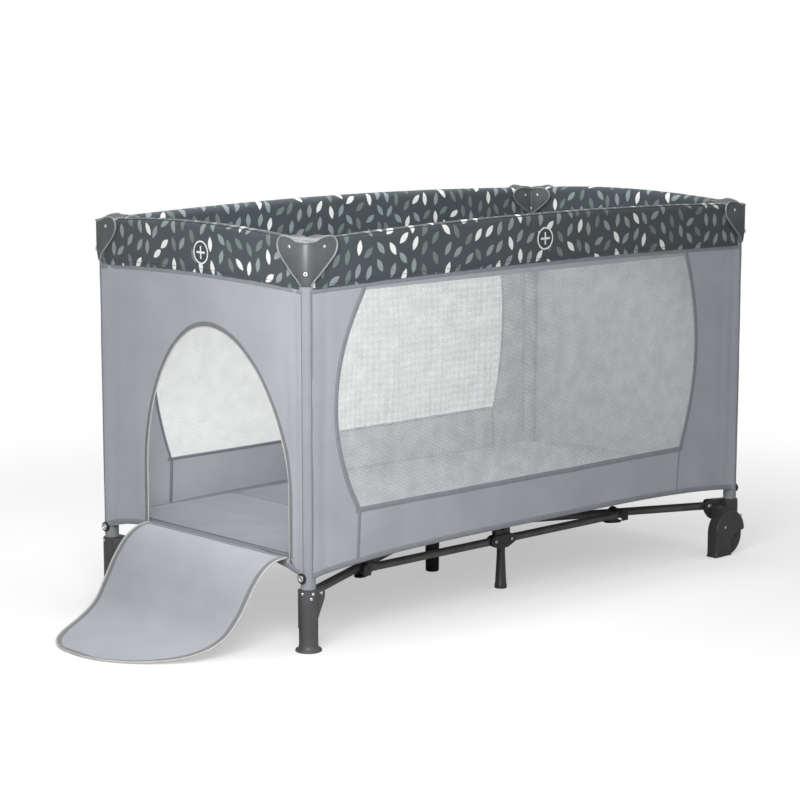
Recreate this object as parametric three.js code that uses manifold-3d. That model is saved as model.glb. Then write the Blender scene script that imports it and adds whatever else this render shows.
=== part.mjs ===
// A folding travel cot (playpen) with a zip-out door ramp at one end and wheels at the other.
// Millimetres, +Z up. X runs along the long side, towards the wheels; Y runs across.
// The origin is on the floor, under the middle of the central base hub.
import * as THREE from 'three';
import { mergeVertices } from 'three/addons/utils/BufferGeometryUtils.js';
import Module from 'manifold-3d';

const wasm = await Module();
wasm.setup();

// ---------------------------------------------------------------- driving dimensions
const legX = 602.5;            // leg axes, half of the spacing along the cot
const legY = 302.5;            // leg axes, half of the spacing across the cot
const legRadius = 12.5;
const legWall = 1.2;
const legBottom = { plain: 30, wheeled: 98.3 };
const legTop = 735;
const railZ = 745;             // axis of the top rails
const railRadius = 9;
const railPivot = 30;          // rail hinge pin, inward from the leg axis
const lockPivot = 27.5;        // lock hinge pins, either side of the rail's middle
const baseZ = 100;             // axis of the base tubes
const diagonalRadius = 8.5;
const footPivot = { u: 35, v: 30 };   // diagonal's hinge pin, inward from the leg axis
const collarShare = 0.63;      // place of the collar along the diagonal, from the hub
const sideBarOut = 20;         // side bar's plane, outboard of its collar pin
const sideBarRadius = 8;
const tubeWall = 1;
const pinRadius = 3;
const pinHole = 3.3;
const gap = 0.3;               // running gap between neighbouring pieces
const tongueHalf = 3;          // half thickness of a flattened tube end
const tongueRadius = 8.5;
const tubeStart = 18;          // where a tube becomes round, from its hinge pin
const slotHalf = 3.4;

const footTop = 116;
const footRadius = 17.8;
const sleeveInner = 12.8;
const sleeveOuter = 14;
const sleeveBottom = 152;
const sleeveTop = 673.7;
const capTip = 674;
const capHalf = 18.5;          // cap's faces across a rail: inner, and outer
const capOut = 19.5;
const capPocket = 15.5;
const capSkin = 757.8;         // underside of the cap's top
const eyeletZ = 138;

const wallIn = 10;             // fabric wall's inner and outer faces, outboard of the leg axes
const wallOut = 12.5;
const bandIn = 11.5;           // printed band around the rails
const bandOut = 13.5;
const bandLow = 667;
const bandRise = 8;            // upward bow of the band's lower edge
const bandTop = 757;
const bandBow = 14;            // upward bow of the band's top edge
const hemLow = 138;
const hemRise = { long: 20, short: 26 };
const hemPower = 4;
const windowLow = 255;

const mattress = { x: 594, y: 292, low: 152, high: 174, corner: 42 };
const floorSheet = { low: 149, high: 151 };
const wheel = { radius: 42, width: 18, u: 34, v: -20, z: 42.5 };
const hood = { radius: 46, z: 52, skin: 2.5, play: 2 };
const yokeTop = 140;           // top of the loops on the base's centre pieces
const buttonDrop = 25;         // rail lock's release button, below the rail axis
const buttonRadius = 8.5;
const lockHalf = 9.2;
const sill = { x: -617.5, z: 170.5 };
const door = { middle: -50.5, lean: 16.5, half: 214, shoulder: 300, top: 574 };
const flapThick = 3;
const flapEdge = 4;            // how far the flap's outline stays inside the doorway

// sizes that follow from the ones above
const spanLong = legX - railPivot - lockPivot;       // pin to pin of a long half rail
const spanShort = legY - railPivot - lockPivot;      // pin to pin of a short half rail
const hubX = legX - footPivot.u - spanLong;
const hubY = legY - footPivot.v - spanShort;
const diagonalLength = Math.hypot(spanLong, spanShort);
const diagonalTurn = Math.atan2(spanShort, spanLong);
const collarX = hubX + collarShare * spanLong;
const collarY = hubY + collarShare * spanShort;
const sideBarY = collarY + sideBarOut;

// ---------------------------------------------------------------- shape helpers
function solid(geometry) {
  const bare = geometry.index ? geometry.clone() : geometry;
  bare.deleteAttribute('normal');
  bare.deleteAttribute('uv');
  const merged = mergeVertices(bare, 1e-4);
  return new wasm.Manifold(new wasm.Mesh({
    numProp: 3,
    vertProperties: new Float32Array(merged.attributes.position.array),
    triVerts: new Uint32Array(merged.index.array),
  }));
}

function geometryOf(manifold) {
  const mesh = manifold.getMesh();
  const geometry = new THREE.BufferGeometry();
  geometry.setAttribute('position', new THREE.BufferAttribute(mesh.vertProperties, 3));
  geometry.setIndex(new THREE.BufferAttribute(mesh.triVerts, 1));
  return geometry;
}

// a geometry turned and moved, as a solid
function placed(geometry, { at = [0, 0, 0], turn = [0, 0, 0] } = {}) {
  const matrix = new THREE.Matrix4().makeRotationFromEuler(new THREE.Euler(...turn));
  matrix.setPosition(...at);
  return solid(geometry.clone().applyMatrix4(matrix));
}

function joined(...solids) {
  return solids.reduce((whole, next) => whole.add(next));
}

function box(low, high) {
  const size = high.map((value, i) => value - low[i]);
  const middle = high.map((value, i) => (value + low[i]) / 2);
  return placed(new THREE.BoxGeometry(...size), { at: middle });
}

// a rod between two heights, along Z
function rod(radius, low, high, sides = 16) {
  return revolved([[0, low], [radius, low], [radius, high], [0, high]], sides);
}

// a body of revolution about Z, from [radius, height] points
function revolved(points, sides = 16) {
  const outline = points.map(([radius, height]) => new THREE.Vector2(radius, height));
  outline.push(outline[0].clone());
  return placed(new THREE.LatheGeometry(outline, sides), { turn: [Math.PI / 2, 0, 0] });
}

// an outline in the XZ plane, given a thickness from y = from to y = to
function slab(shape, from, to, curveSegments = 6) {
  const outline = Array.isArray(shape)
    ? new THREE.Shape(shape.map(([x, z]) => new THREE.Vector2(x, z)))
    : shape;
  const geometry = new THREE.ExtrudeGeometry(outline, {
    depth: to - from, bevelEnabled: false, curveSegments,
  });
  return placed(geometry, { at: [0, to, 0], turn: [Math.PI / 2, 0, 0] });
}

// a pin or hole along Y at (x, z)
function crossRod(radius, x, z, from, to, sides = 12) {
  const rodGeometry = new THREE.CylinderGeometry(radius, radius, to - from, sides);
  return placed(rodGeometry, { at: [x, (from + to) / 2, z] });
}

function disc(radius, x, z) {
  const shape = new THREE.Shape();
  shape.absarc(x, z, radius, 0, Math.PI * 2);
  return shape;
}

// turns a solid about the Z axis through the origin, then moves it
function moved(manifold, x, y, turn = 0) {
  const geometry = geometryOf(manifold);
  geometry.applyMatrix4(new THREE.Matrix4().makeRotationZ(turn).setPosition(x, y, 0));
  return solid(geometry);
}

// a geometry mirrored into another quadrant, with its faces kept pointing out
function mirrored(geometry, signX, signY) {
  const copy = geometry.clone().scale(signX, signY, 1);
  if (signX * signY < 0) {
    const index = copy.index.array;
    for (let i = 0; i < index.length; i += 3) {
      [index[i + 1], index[i + 2]] = [index[i + 2], index[i + 1]];
    }
  }
  return copy;
}

const finishes = {
  blackPlastic: { color: 0x2a2b2c, roughness: 0.45, metalness: 0 },
  greyPlastic: { color: 0x4d4d4f, roughness: 0.5, metalness: 0 },
  capPlastic: { color: 0x6b6766, roughness: 0.45, metalness: 0 },
  paintedSteel: { color: 0x5a5a5c, roughness: 0.4, metalness: 0.4 },
  greyFabric: { color: 0x9fa3a8, roughness: 0.95, metalness: 0 },
  printedFabric: { color: 0x414c50, roughness: 0.9, metalness: 0 },
  meshFabric: { color: 0xdcdcdc, roughness: 0.95, metalness: 0, transparent: true, opacity: 0.45 },
  wheelPlastic: { color: 0x3c3c3d, roughness: 0.55, metalness: 0 },
};

function node(name, geometry, finish, position = [0, 0, 0]) {
  const mesh = new THREE.Mesh(geometry, new THREE.MeshStandardMaterial(finishes[finish]));
  mesh.name = name;
  mesh.position.set(...position);
  return mesh;
}

const cot = new THREE.Group();
const corners = [
  { name: 'front_left', x: -1, y: -1, wheeled: false },
  { name: 'front_right', x: 1, y: -1, wheeled: true },
  { name: 'back_left', x: -1, y: 1, wheeled: false },
  { name: 'back_right', x: 1, y: 1, wheeled: true },
];

// ---------------------------------------------------------------- hinged tubes
// A tube along +X from a pin at x = 0 to a pin at x = length, with flattened drilled ends.
function hingedTube(length, radius, height) {
  const inner = radius - tubeWall;
  const ring = revolved([
    [inner, tubeStart], [radius, tubeStart], [radius, length - tubeStart], [inner, length - tubeStart],
  ], 12);
  let whole = placed(geometryOf(ring), { at: [0, 0, height], turn: [0, Math.PI / 2, 0] });
  for (const [pin, way] of [[0, 1], [length, -1]]) {
    const tongue = new THREE.Shape();
    tongue.absarc(pin, height, Math.min(tongueRadius, radius - 0.6), 0, Math.PI * 2);
    const reach = tubeStart + 8;
    const halfHeight = inner + 0.3;
    const neck = [
      [pin, height - halfHeight], [pin + way * reach, height - halfHeight],
      [pin + way * reach, height + halfHeight], [pin, height + halfHeight],
    ];
    if (way < 0) neck.reverse();
    whole = joined(whole, slab(tongue, -tongueHalf, tongueHalf, 5), slab(neck, -tongueHalf, tongueHalf));
    whole = whole.subtract(crossRod(pinHole, pin, height, -radius - 1, radius + 1));
  }
  return whole;
}

// ---------------------------------------------------------------- corner pieces
// Corner frame: origin on the floor under the leg axis, +X and +Y both pointing into the cot.
function makeLeg(bottom) {
  const tube = revolved([
    [legRadius - legWall, bottom], [legRadius, bottom], [legRadius, legTop], [legRadius - legWall, legTop],
  ]);
  const sideways = [0, 0, Math.PI / 2];
  const stud = placed(new THREE.CylinderGeometry(3, 3, 5, 10), { at: [-14.4, 0, eyeletZ], turn: sideways });
  const press = placed(new THREE.CylinderGeometry(10.5, 11, 3, 16), { at: [-17.2, 0, eyeletZ], turn: sideways });
  return joined(tube, stud, press);
}

// the fork that holds a diagonal's end; s runs along the diagonal from its pin
function footFork() {
  const cheeks = slab([
    [-46, 50], [-26, 42], [-12, 66], [9, 90], [11, 100], [10, 109], [5, 114], [-46, 114],
  ], -8, 8);
  const slot = box([-10.5, -slotHalf, 88], [20, slotHalf, 130]);
  const pin = crossRod(pinRadius, 0, baseZ, -8, 8);
  const rivetHeads = joined(crossRod(5, 0, baseZ, -9.2, -7.9), crossRod(5, 0, baseZ, 7.9, 9.2));
  return moved(joined(cheeks.subtract(slot), pin, rivetHeads), footPivot.u, footPivot.v, diagonalTurn);
}

function makePlainFoot() {
  const bore = rod(legRadius + gap, legBottom.plain - gap, footTop + 20);
  const column = revolved([
    [0, 0], [24.5, 0], [24.5, 4], [21, 8], [footRadius, 12], [footRadius, footTop], [0, footTop],
  ]);
  return joined(column, footFork()).subtract(bore);
}

// outline of the hood over the wheel, closed below the mouth where the wheel shows
function hoodOutline(mouthX) {
  const inward = wheel.u + hood.radius;
  const shape = new THREE.Shape();
  shape.moveTo(inward + 2, 0);
  shape.lineTo(inward + 2, 4);
  shape.lineTo(inward, 7);
  shape.lineTo(inward, hood.z);
  shape.absarc(wheel.u, hood.z, hood.radius, 0, Math.PI, false);
  shape.lineTo(wheel.u - 2, wheel.z);
  shape.lineTo(mouthX, 0);
  return shape;
}

// foot with a hooded wheel under the outer side of the leg
function makeWheelFoot() {
  const outer = wheel.v - wheel.width / 2 - hood.play - hood.skin;
  const back = wheel.v + wheel.width / 2 + hood.play;
  const cover = slab(hoodOutline(wheel.u - 6), outer, back + hood.skin, 9);
  const socket = rod(footRadius, 66, footTop);
  const fork = footFork().intersect(box([-60, -60, 72], [60, 60, 130]));
  const web = box([-12, back, 70], [44, 16, 104]);
  const room = crossRod(wheel.radius + hood.play, wheel.u, wheel.z, outer + hood.skin, back, 28);
  const mouth = box([wheel.u - hood.radius - 4, outer + hood.skin, -1], [wheel.u - 2, back, wheel.z]);
  const bore = rod(legRadius + gap, legBottom.wheeled - gap, footTop + 20);
  const axle = crossRod(4, wheel.u, wheel.z, outer, back + hood.skin, 14);
  const boss = crossRod(7, wheel.u, wheel.z, outer - 1.2, outer + hood.skin, 14);
  const body = joined(cover, socket, fork, web).subtract(room).subtract(mouth).subtract(bore);
  return joined(body, axle, boss);
}

function makeWheel() {
  const half = wheel.width / 2;
  const r = wheel.radius;
  const profile = revolved([
    [4.4, -half], [10, -half], [12, -half + 3], [30, -half + 3], [32, -half], [r - 2, -half], [r, -half + 2],
    [r, half - 2], [r - 2, half], [4.4, half],
  ], 24);
  return placed(geometryOf(profile), { turn: [Math.PI / 2, 0, 0] });
}

// one arm of the heart-shaped cap, along +X from the leg
function capArm() {
  const face = new THREE.Shape();
  face.moveTo(-2, capTip + 26);
  face.lineTo(9, capTip + 12);
  face.lineTo(48, 724);
  face.quadraticCurveTo(60, 738, 57, 750);
  face.quadraticCurveTo(53, 762, 40, 762.5);
  face.quadraticCurveTo(22, 761.5, 13, 757);
  face.quadraticCurveTo(5, 752, -2, 751);
  return slab(face, -capOut, capHalf, 5);
}

function makeCap() {
  const middle = (capHalf - capOut) / 2;
  const radius = (capHalf + capOut) / 2;
  const column = moved(revolved([
    [0, capTip], [radius - 4.5, capTip], [radius - 1, capTip + 10], [radius, capTip + 24], [radius, 750],
    [radius - 4, 752.5], [0, 752.5],
  ], 24), middle, middle);
  const pocket = box([16, -capPocket, 640], [80, capPocket, capSkin - 1]);
  const pin = joined(
    crossRod(pinRadius, railPivot, railZ, -capPocket - 1, capPocket + 1),
    crossRod(6, railPivot, railZ, -capPocket - 1, -slotHalf),
    crossRod(6, railPivot, railZ, slotHalf, capPocket + 1),
  );
  const bore = rod(legRadius + gap, 640, legTop + gap);
  const swap = (piece) => solid(mirrored(geometryOf(moved(piece, 0, 0, Math.PI / 2)), -1, 1));
  const arm = capArm();
  const cornerCut = box([capHalf + 0.01, capHalf + 0.01, 640], [90, 90, 800]);
  const arms = joined(arm, swap(arm)).subtract(cornerCut);
  const shell = joined(arms, column).subtract(pocket).subtract(swap(pocket)).subtract(bore);
  return joined(shell, pin, swap(pin));
}

// the level bracket that pins the side bar to the diagonal; origin on the diagonal's pin
function makeCollar() {
  const inside = diagonalRadius + gap;
  const outside = inside + 3;
  const plate = new THREE.Shape();
  plate.absarc(0, baseZ, 12, 0, Math.PI * 2);
  const leg = [[-2, baseZ - 17], [17, baseZ - 17], [17, baseZ - 6], [4, baseZ]];
  let straddle = joined(slab(plate, -outside, outside), slab(leg, -outside, outside));
  straddle = straddle.subtract(box([-14, -inside, baseZ - 40], [10.5, inside, baseZ + 20]));
  straddle = straddle.subtract(box([10, -inside, baseZ - 11], [20, inside, baseZ + 20]));
  const diagonalPin = crossRod(pinRadius, 0, baseZ, -outside, outside);
  const turned = moved(joined(straddle, diagonalPin), 0, 0, diagonalTurn);
  // outer lug for the side bar, whose tongue lies at y = -sideBarOut
  const lugIn = -sideBarOut + slotHalf;
  const lugOut = -sideBarOut - slotHalf - 3;
  const lug = joined(
    slab(disc(10, 0, baseZ), lugOut, -sideBarOut - slotHalf),
    box([-14, lugOut, baseZ - 10], [-10, -9, baseZ + 6]),
    box([-14, lugOut, baseZ - 14], [4, -sideBarOut - slotHalf, baseZ - 2]),
  );
  const room = crossRod(9.7, 0, baseZ, -sideBarOut - slotHalf, lugIn, 16);
  const tubeRoom = moved(box([-40, -inside, baseZ - 30], [40, inside, baseZ + 30]), 0, 0, diagonalTurn);
  const barPinEnd = inside / Math.cos(diagonalTurn) + pinRadius * Math.tan(diagonalTurn) + 0.2;
  const barPin = crossRod(pinRadius, 0, baseZ, lugOut - 1, -barPinEnd);
  return joined(turned.subtract(room), lug.subtract(tubeRoom).subtract(room), barPin);
}

function makeDiagonal() {
  const tube = hingedTube(diagonalLength, diagonalRadius, baseZ);
  const collarPin = diagonalLength * (1 - collarShare);
  return tube.subtract(crossRod(pinHole, collarPin, baseZ, -diagonalRadius - 1, diagonalRadius + 1));
}

const plainLeg = geometryOf(makeLeg(legBottom.plain));
const wheelLeg = geometryOf(makeLeg(legBottom.wheeled));
const plainFoot = geometryOf(makePlainFoot());
const wheelFoot = geometryOf(makeWheelFoot());
const cap = geometryOf(makeCap());
const collar = geometryOf(makeCollar());
const wheelShape = geometryOf(makeWheel());
const diagonal = geometryOf(moved(makeDiagonal(), 0, 0, diagonalTurn));
const longRail = geometryOf(hingedTube(spanLong, railRadius, railZ));
const shortRail = geometryOf(moved(hingedTube(spanShort, railRadius, railZ), 0, 0, Math.PI / 2));
const sideBar = geometryOf(hingedTube(collarX - hubX, sideBarRadius, baseZ));

for (const corner of corners) {
  const { name, x, y } = corner;
  const inward = (geometry) => mirrored(geometry, -x, -y);
  const group = new THREE.Group();
  group.position.set(x * legX, y * legY, 0);
  group.add(node(`leg_${name}`, inward(corner.wheeled ? wheelLeg : plainLeg), 'paintedSteel'));
  group.add(node(`foot_${name}`, inward(corner.wheeled ? wheelFoot : plainFoot), 'greyPlastic'));
  group.add(node(`cap_${name}`, inward(cap), 'capPlastic'));
  group.add(node(`long_rail_${name}`, inward(longRail), 'paintedSteel', [-x * railPivot, 0, 0]));
  group.add(node(`short_rail_${name}`, inward(shortRail), 'paintedSteel', [0, -y * railPivot, 0]));
  group.add(node(`diagonal_${name}`, inward(diagonal), 'paintedSteel', [-x * footPivot.u, -y * footPivot.v, 0]));
  if (corner.wheeled) {
    const place = [-x * wheel.u, -y * wheel.v, wheel.z];
    group.add(node(y < 0 ? 'wheel_front' : 'wheel_back', wheelShape, 'wheelPlastic', place));
  }
  cot.add(group);
  cot.add(node(`collar_${name}`, inward(collar), 'greyPlastic', [x * collarX, y * collarY, 0]));
  cot.add(node(`side_bar_${name}`, inward(sideBar), 'paintedSteel', [x * collarX, y * sideBarY, 0]));
}

// ---------------------------------------------------------------- base centre
// upright loop that a webbing handle is tied to, on top of the base's centre pieces
function makeYoke(bottom) {
  const outline = [
    [-21, bottom], [21, bottom], [21, yokeTop], [9, yokeTop], [6, yokeTop - 4], [-6, yokeTop - 4], [-9, yokeTop],
    [-21, yokeTop],
  ];
  return slab(outline, -5, 5).subtract(crossRod(6.5, 0, yokeTop - 14, -6, 6));
}

// level block with a fork at each end for two side bars, standing on its own leg
function makeSideJoint() {
  const outline = [
    [-33, 93], [-12, 84], [12, 84], [33, 93], [34, 101], [31, 108], [24, 111], [-24, 111], [-31, 108], [-34, 101],
  ];
  let body = slab(outline, -8.5, 8.5);
  for (const side of [-1, 1]) {
    const pin = side * hubX;
    const slot = box(
      [Math.min(side * 12, side * 40), -slotHalf, 70], [Math.max(side * 12, side * 40), slotHalf, 109],
    );
    body = body.subtract(slot);
    body = joined(body, crossRod(pinRadius, pin, baseZ, -8.5, 8.5));
    body = joined(body, crossRod(5, pin, baseZ, -9.7, -8.4), crossRod(5, pin, baseZ, 8.4, 9.7));
  }
  const prop = revolved([
    [0, 0], [12.5, 0], [12.5, 8], [11.5, 10], [8.5, 70], [8.5, 86], [0, 86],
  ]);
  return joined(body, prop, makeYoke(109.5));
}

// central hub: four forks round a short stout leg
function makeHub() {
  const forkBack = Math.hypot(hubX, hubX * Math.tan(diagonalTurn));
  let forks = null;
  for (const [x, y] of [[1, 1], [-1, 1], [1, -1], [-1, -1]]) {
    const outline = new THREE.Shape();
    outline.moveTo(-forkBack, baseZ - 11);
    outline.lineTo(0, baseZ - 11);
    outline.absarc(0, baseZ, 11, -Math.PI / 2, Math.PI / 2, false);
    outline.lineTo(-forkBack, baseZ + 11);
    const arm = slab(outline, -7.5, 7.5, 5)
      .subtract(box([-10, -slotHalf, baseZ - 20], [20, slotHalf, baseZ + 9.5]));
    const fork = joined(arm, crossRod(pinRadius, 0, baseZ, -7.5, 7.5));
    const turned = moved(fork, hubX, hubY, diagonalTurn);
    const quarter = solid(mirrored(geometryOf(turned), x, y));
    forks = forks ? forks.add(quarter) : quarter;
  }
  const column = revolved([
    [0, 0], [12.5, 0], [14, 1.5], [14.5, 30], [15, 60], [15, 113], [0, 113],
  ]);
  const spine = box([-13, -24, 80], [13, 24, 113]);
  let tubes = null;
  for (const [x, y] of [[1, 1], [-1, 1], [1, -1], [-1, -1]]) {
    const tongueRoom = moved(box([-10, -slotHalf, 60], [40, slotHalf, baseZ + 9.5]), hubX, hubY, diagonalTurn);
    const room = solid(mirrored(geometryOf(tongueRoom), x, y));
    tubes = tubes ? tubes.add(room) : room;
  }
  const pins = [[1, 1], [-1, 1], [1, -1], [-1, -1]].map(([x, y]) => {
    const pin = moved(crossRod(pinRadius, 0, baseZ, -7.5, 7.5), hubX, hubY, diagonalTurn);
    return solid(mirrored(geometryOf(pin), x, y));
  });
  return joined(joined(forks, column, spine).subtract(tubes), ...pins, makeYoke(110));
}

const sideJoint = geometryOf(makeSideJoint());
cot.add(node('hub', geometryOf(makeHub()), 'blackPlastic'));
cot.add(node('side_joint_front', sideJoint, 'greyPlastic', [0, -sideBarY, 0]));
cot.add(node('side_joint_back', sideJoint.clone(), 'greyPlastic', [0, sideBarY, 0]));

// ---------------------------------------------------------------- rail locks
// along +X, with its button on the -Y face
function makeLock() {
  const outline = [
    [-39, -12], [-20, -14], [-16, -40], [16, -40], [20, -14], [39, -12], [39, 8], [30, 12],
    [16, 12], [13, 20], [-13, 20], [-16, 12], [-30, 12], [-39, 8],
  ].map(([x, z]) => [x, z + railZ]);
  let body = slab(outline, -lockHalf, lockHalf);
  for (const side of [-1, 1]) {
    const near = side * 15.5;
    const far = side * 45;
    const slot = box(
      [Math.min(near, far), -slotHalf, railZ - 10], [Math.max(near, far), slotHalf, railZ + 30],
    );
    body = joined(body.subtract(slot), crossRod(pinRadius, side * lockPivot, railZ, -lockHalf, lockHalf));
  }
  return body.subtract(crossRod(buttonRadius + 0.5, 0, railZ - buttonDrop, -lockHalf - 1, 1, 16));
}

const buttonShape = crossRod(buttonRadius, 0, railZ - buttonDrop, -lockHalf - 1.5, -lockHalf + 5, 16);
const lockShape = makeLock();
for (const [side, turn, x, y] of [
  ['front', 0, 0, -legY], ['back', Math.PI, 0, legY],
  ['door', -Math.PI / 2, -legX, 0], ['wheel', Math.PI / 2, legX, 0],
]) {
  cot.add(node(`rail_lock_${side}`, geometryOf(moved(lockShape, 0, 0, turn)), 'blackPlastic', [x, y, 0]));
  cot.add(node(`lock_button_${side}`, geometryOf(moved(buttonShape, 0, 0, turn)), 'blackPlastic', [x, y, 0]));
}

// ---------------------------------------------------------------- fabric
// evenly spaced points of a bow: height is low at the ends and low + rise in the middle
function bow(half, low, rise, power = 2, steps = 10) {
  return Array.from({ length: steps + 1 }, (_, i) => {
    const x = -half + (2 * half * i) / steps;
    return [x, low + rise * (1 - Math.abs(x / half) ** power)];
  });
}

// the cap's lower edge with its clearance, as [distance from the leg axis, height], closed above the cap
const capEdge = [
  [0, 673.2], [15, 673.2], [18.4, 683.5], [19.4, 693.5], [49.5, 722.5], [60, 734], [61.5, 742], [60.5, 752],
  [60.5, 800], [0, 800],
];

// the printed band folded over a rail: a channel open below, along X, outside towards -Y
function makeBand(legDistance) {
  const half = legDistance - 15.2;
  const outside = [...bow(half, bandLow, bandRise), ...bow(half, bandTop, bandBow).reverse()];
  const inside = [[-half - 1, bandLow - 20], [half + 1, bandLow - 20],
    ...bow(half + 1, bandTop - 2, bandBow).reverse()];
  let channel = slab(outside, -bandOut, bandOut).subtract(slab(inside, -bandIn, bandIn));
  for (const end of [-1, 1]) {
    const notch = capEdge.map(([inward, z]) => [end * (legDistance - inward), z]);
    if (end > 0) notch.reverse();
    channel = channel.subtract(slab(notch, -20, 20));
  }
  return channel;
}

// side outline of a fabric wall between its bowed hem and the band
function wallOutline(half, rise) {
  return [...bow(half, hemLow, rise, hemPower), ...bow(half, bandLow - gap, bandRise).reverse()];
}

// a see-through window with sides that belly outwards; grow widens it by a seam
function windowOutline(side, grow) {
  const { left, right } = side;
  const shape = new THREE.Shape();
  const high = 655 + grow;
  const low = windowLow - grow;
  shape.moveTo(left.low - grow, low);
  shape.lineTo(right.low + grow, low);
  shape.quadraticCurveTo(right.belly + grow, (low + high) / 2, right.high + grow, high);
  shape.lineTo(left.high - grow, high);
  shape.quadraticCurveTo(left.belly - grow, (low + high) / 2, left.low - grow, low);
  return shape;
}

const windows = {
  front: { left: { low: -486, belly: -597, high: -470 }, right: { low: 415, belly: 502, high: 424 } },
  back: { left: { low: -441, belly: -514, high: -462 }, right: { low: 491, belly: 548, high: 500 } },
};

function makeLongWall(side) {
  let wall = slab(wallOutline(legX - 9, hemRise.long), -wallOut, -wallIn);
  wall = wall.subtract(slab(windowOutline(side, 0), -wallOut - 1, -wallIn + 1, 9));
  const sleeve = revolved([
    [sleeveInner, sleeveBottom], [sleeveOuter, sleeveBottom], [sleeveOuter, sleeveTop], [sleeveInner, sleeveTop],
  ]);
  return joined(wall, moved(sleeve, -legX, 0), moved(sleeve, legX, 0));
}

// the doorway: a straight-sided arch that leans to one side, standing on the sill
function doorOutline() {
  const shape = new THREE.Shape();
  const { middle, half, shoulder, top, lean } = door;
  shape.moveTo(middle - half, sill.z - 0.5);
  shape.lineTo(middle + half, sill.z - 0.5);
  shape.lineTo(middle + half, shoulder - 20);
  shape.bezierCurveTo(middle + half, shoulder + 125, middle + lean + 118, top, middle + lean, top);
  shape.bezierCurveTo(middle + lean - 118, top, middle - half, shoulder + 125, middle - half, shoulder - 20);
  return shape;
}

function makeEndWall() {
  return slab(wallOutline(legY - sleeveOuter - gap, hemRise.short), -wallOut, -wallIn);
}

const longBand = makeBand(legX);
const shortBand = makeBand(legY);
const turnTo = { front: 0, back: Math.PI, door: -Math.PI / 2, wheel: Math.PI / 2 };
const placeOf = { front: [0, -legY, 0], back: [0, legY, 0], door: [-legX, 0, 0], wheel: [legX, 0, 0] };
// the back wall is drawn as seen from outside, so its window is mirrored into place
const backWindow = {
  left: { low: -windows.back.right.low, belly: -windows.back.right.belly, high: -windows.back.right.high },
  right: { low: -windows.back.left.low, belly: -windows.back.left.belly, high: -windows.back.left.high },
};

for (const [side, opening] of [['front', windows.front], ['back', backWindow]]) {
  const wall = moved(makeLongWall(opening), 0, 0, turnTo[side]);
  const net = moved(slab(windowOutline(opening, -gap), -wallOut + 0.8, -wallIn - 0.5, 9), 0, 0, turnTo[side]);
  cot.add(node(`wall_${side}`, geometryOf(wall), 'greyFabric', placeOf[side]));
  cot.add(node(`mesh_${side}`, geometryOf(net), 'meshFabric', placeOf[side]));
  cot.add(node(`band_${side}`, geometryOf(moved(longBand, 0, 0, turnTo[side])), 'printedFabric', placeOf[side]));
}
// seen from outside the door end, +x of the outline is the cot's -Y
const mirroredDoor = solid(mirrored(geometryOf(slab(doorOutline(), -20, 0, 9)), -1, 1));
const doorWall = makeEndWall().subtract(mirroredDoor);
for (const [side, wall] of [['door', doorWall], ['wheel', makeEndWall()]]) {
  cot.add(node(`wall_${side}`, geometryOf(moved(wall, 0, 0, turnTo[side])), 'greyFabric', placeOf[side]));
  cot.add(node(`band_${side}`, geometryOf(moved(shortBand, 0, 0, turnTo[side])), 'printedFabric', placeOf[side]));
}

// rounded rectangle, thickness along Z
function makePad({ x, y, low, high, corner }) {
  const shape = new THREE.Shape();
  shape.absarc(x - corner, y - corner, corner, 0, Math.PI / 2);
  shape.absarc(corner - x, y - corner, corner, Math.PI / 2, Math.PI);
  shape.absarc(corner - x, corner - y, corner, Math.PI, 1.5 * Math.PI);
  shape.absarc(x - corner, corner - y, corner, 1.5 * Math.PI, 2 * Math.PI);
  const geometry = new THREE.ExtrudeGeometry(shape, { depth: high - low, bevelEnabled: false, curveSegments: 5 });
  return placed(geometry, { at: [0, 0, low] });
}

let floorCut = makePad({ x: legX + 8, y: legY + 8, corner: 20, ...floorSheet });
for (const { x, y } of corners) {
  const notch = rod(sleeveOuter + 2, floorSheet.low - 1, floorSheet.high + 1);
  floorCut = floorCut.subtract(moved(notch, x * legX, y * legY));
}
cot.add(node('mattress', geometryOf(makePad(mattress)), 'greyFabric'));
cot.add(node('floor_sheet', geometryOf(floorCut), 'greyFabric'));

// ---------------------------------------------------------------- door flap
// side view of the unzipped flap, from the sill down to the floor: [x, z]
const flapCurve = new THREE.CatmullRomCurve3([
  [sill.x, sill.z], [-646, 166], [-673, 150], [-700.5, 117], [-726, 75], [-757, 37], [-805, 14.5], [-870, 4.6],
  [-937, 2.6],
].map(([x, z]) => new THREE.Vector3(x, 0, z)), false, 'centripetal');
const flapLength = flapCurve.getLength();
const flapHinges = [0, 0.33, 0.62, 1];  // shares of the flap's length where its stretches meet
const flapGap = 1.3;

// half width of the flap at a distance from the sill
function flapHalf(distance) {
  const straight = door.shoulder - sill.z - 40;
  const half = door.half - flapEdge;
  if (distance < straight) return half;
  const t = Math.min(1, (distance - straight) / (flapLength - straight));
  return half * Math.sqrt(Math.max(0, 1 - t ** 2.2)) + 6 * t;
}

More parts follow.
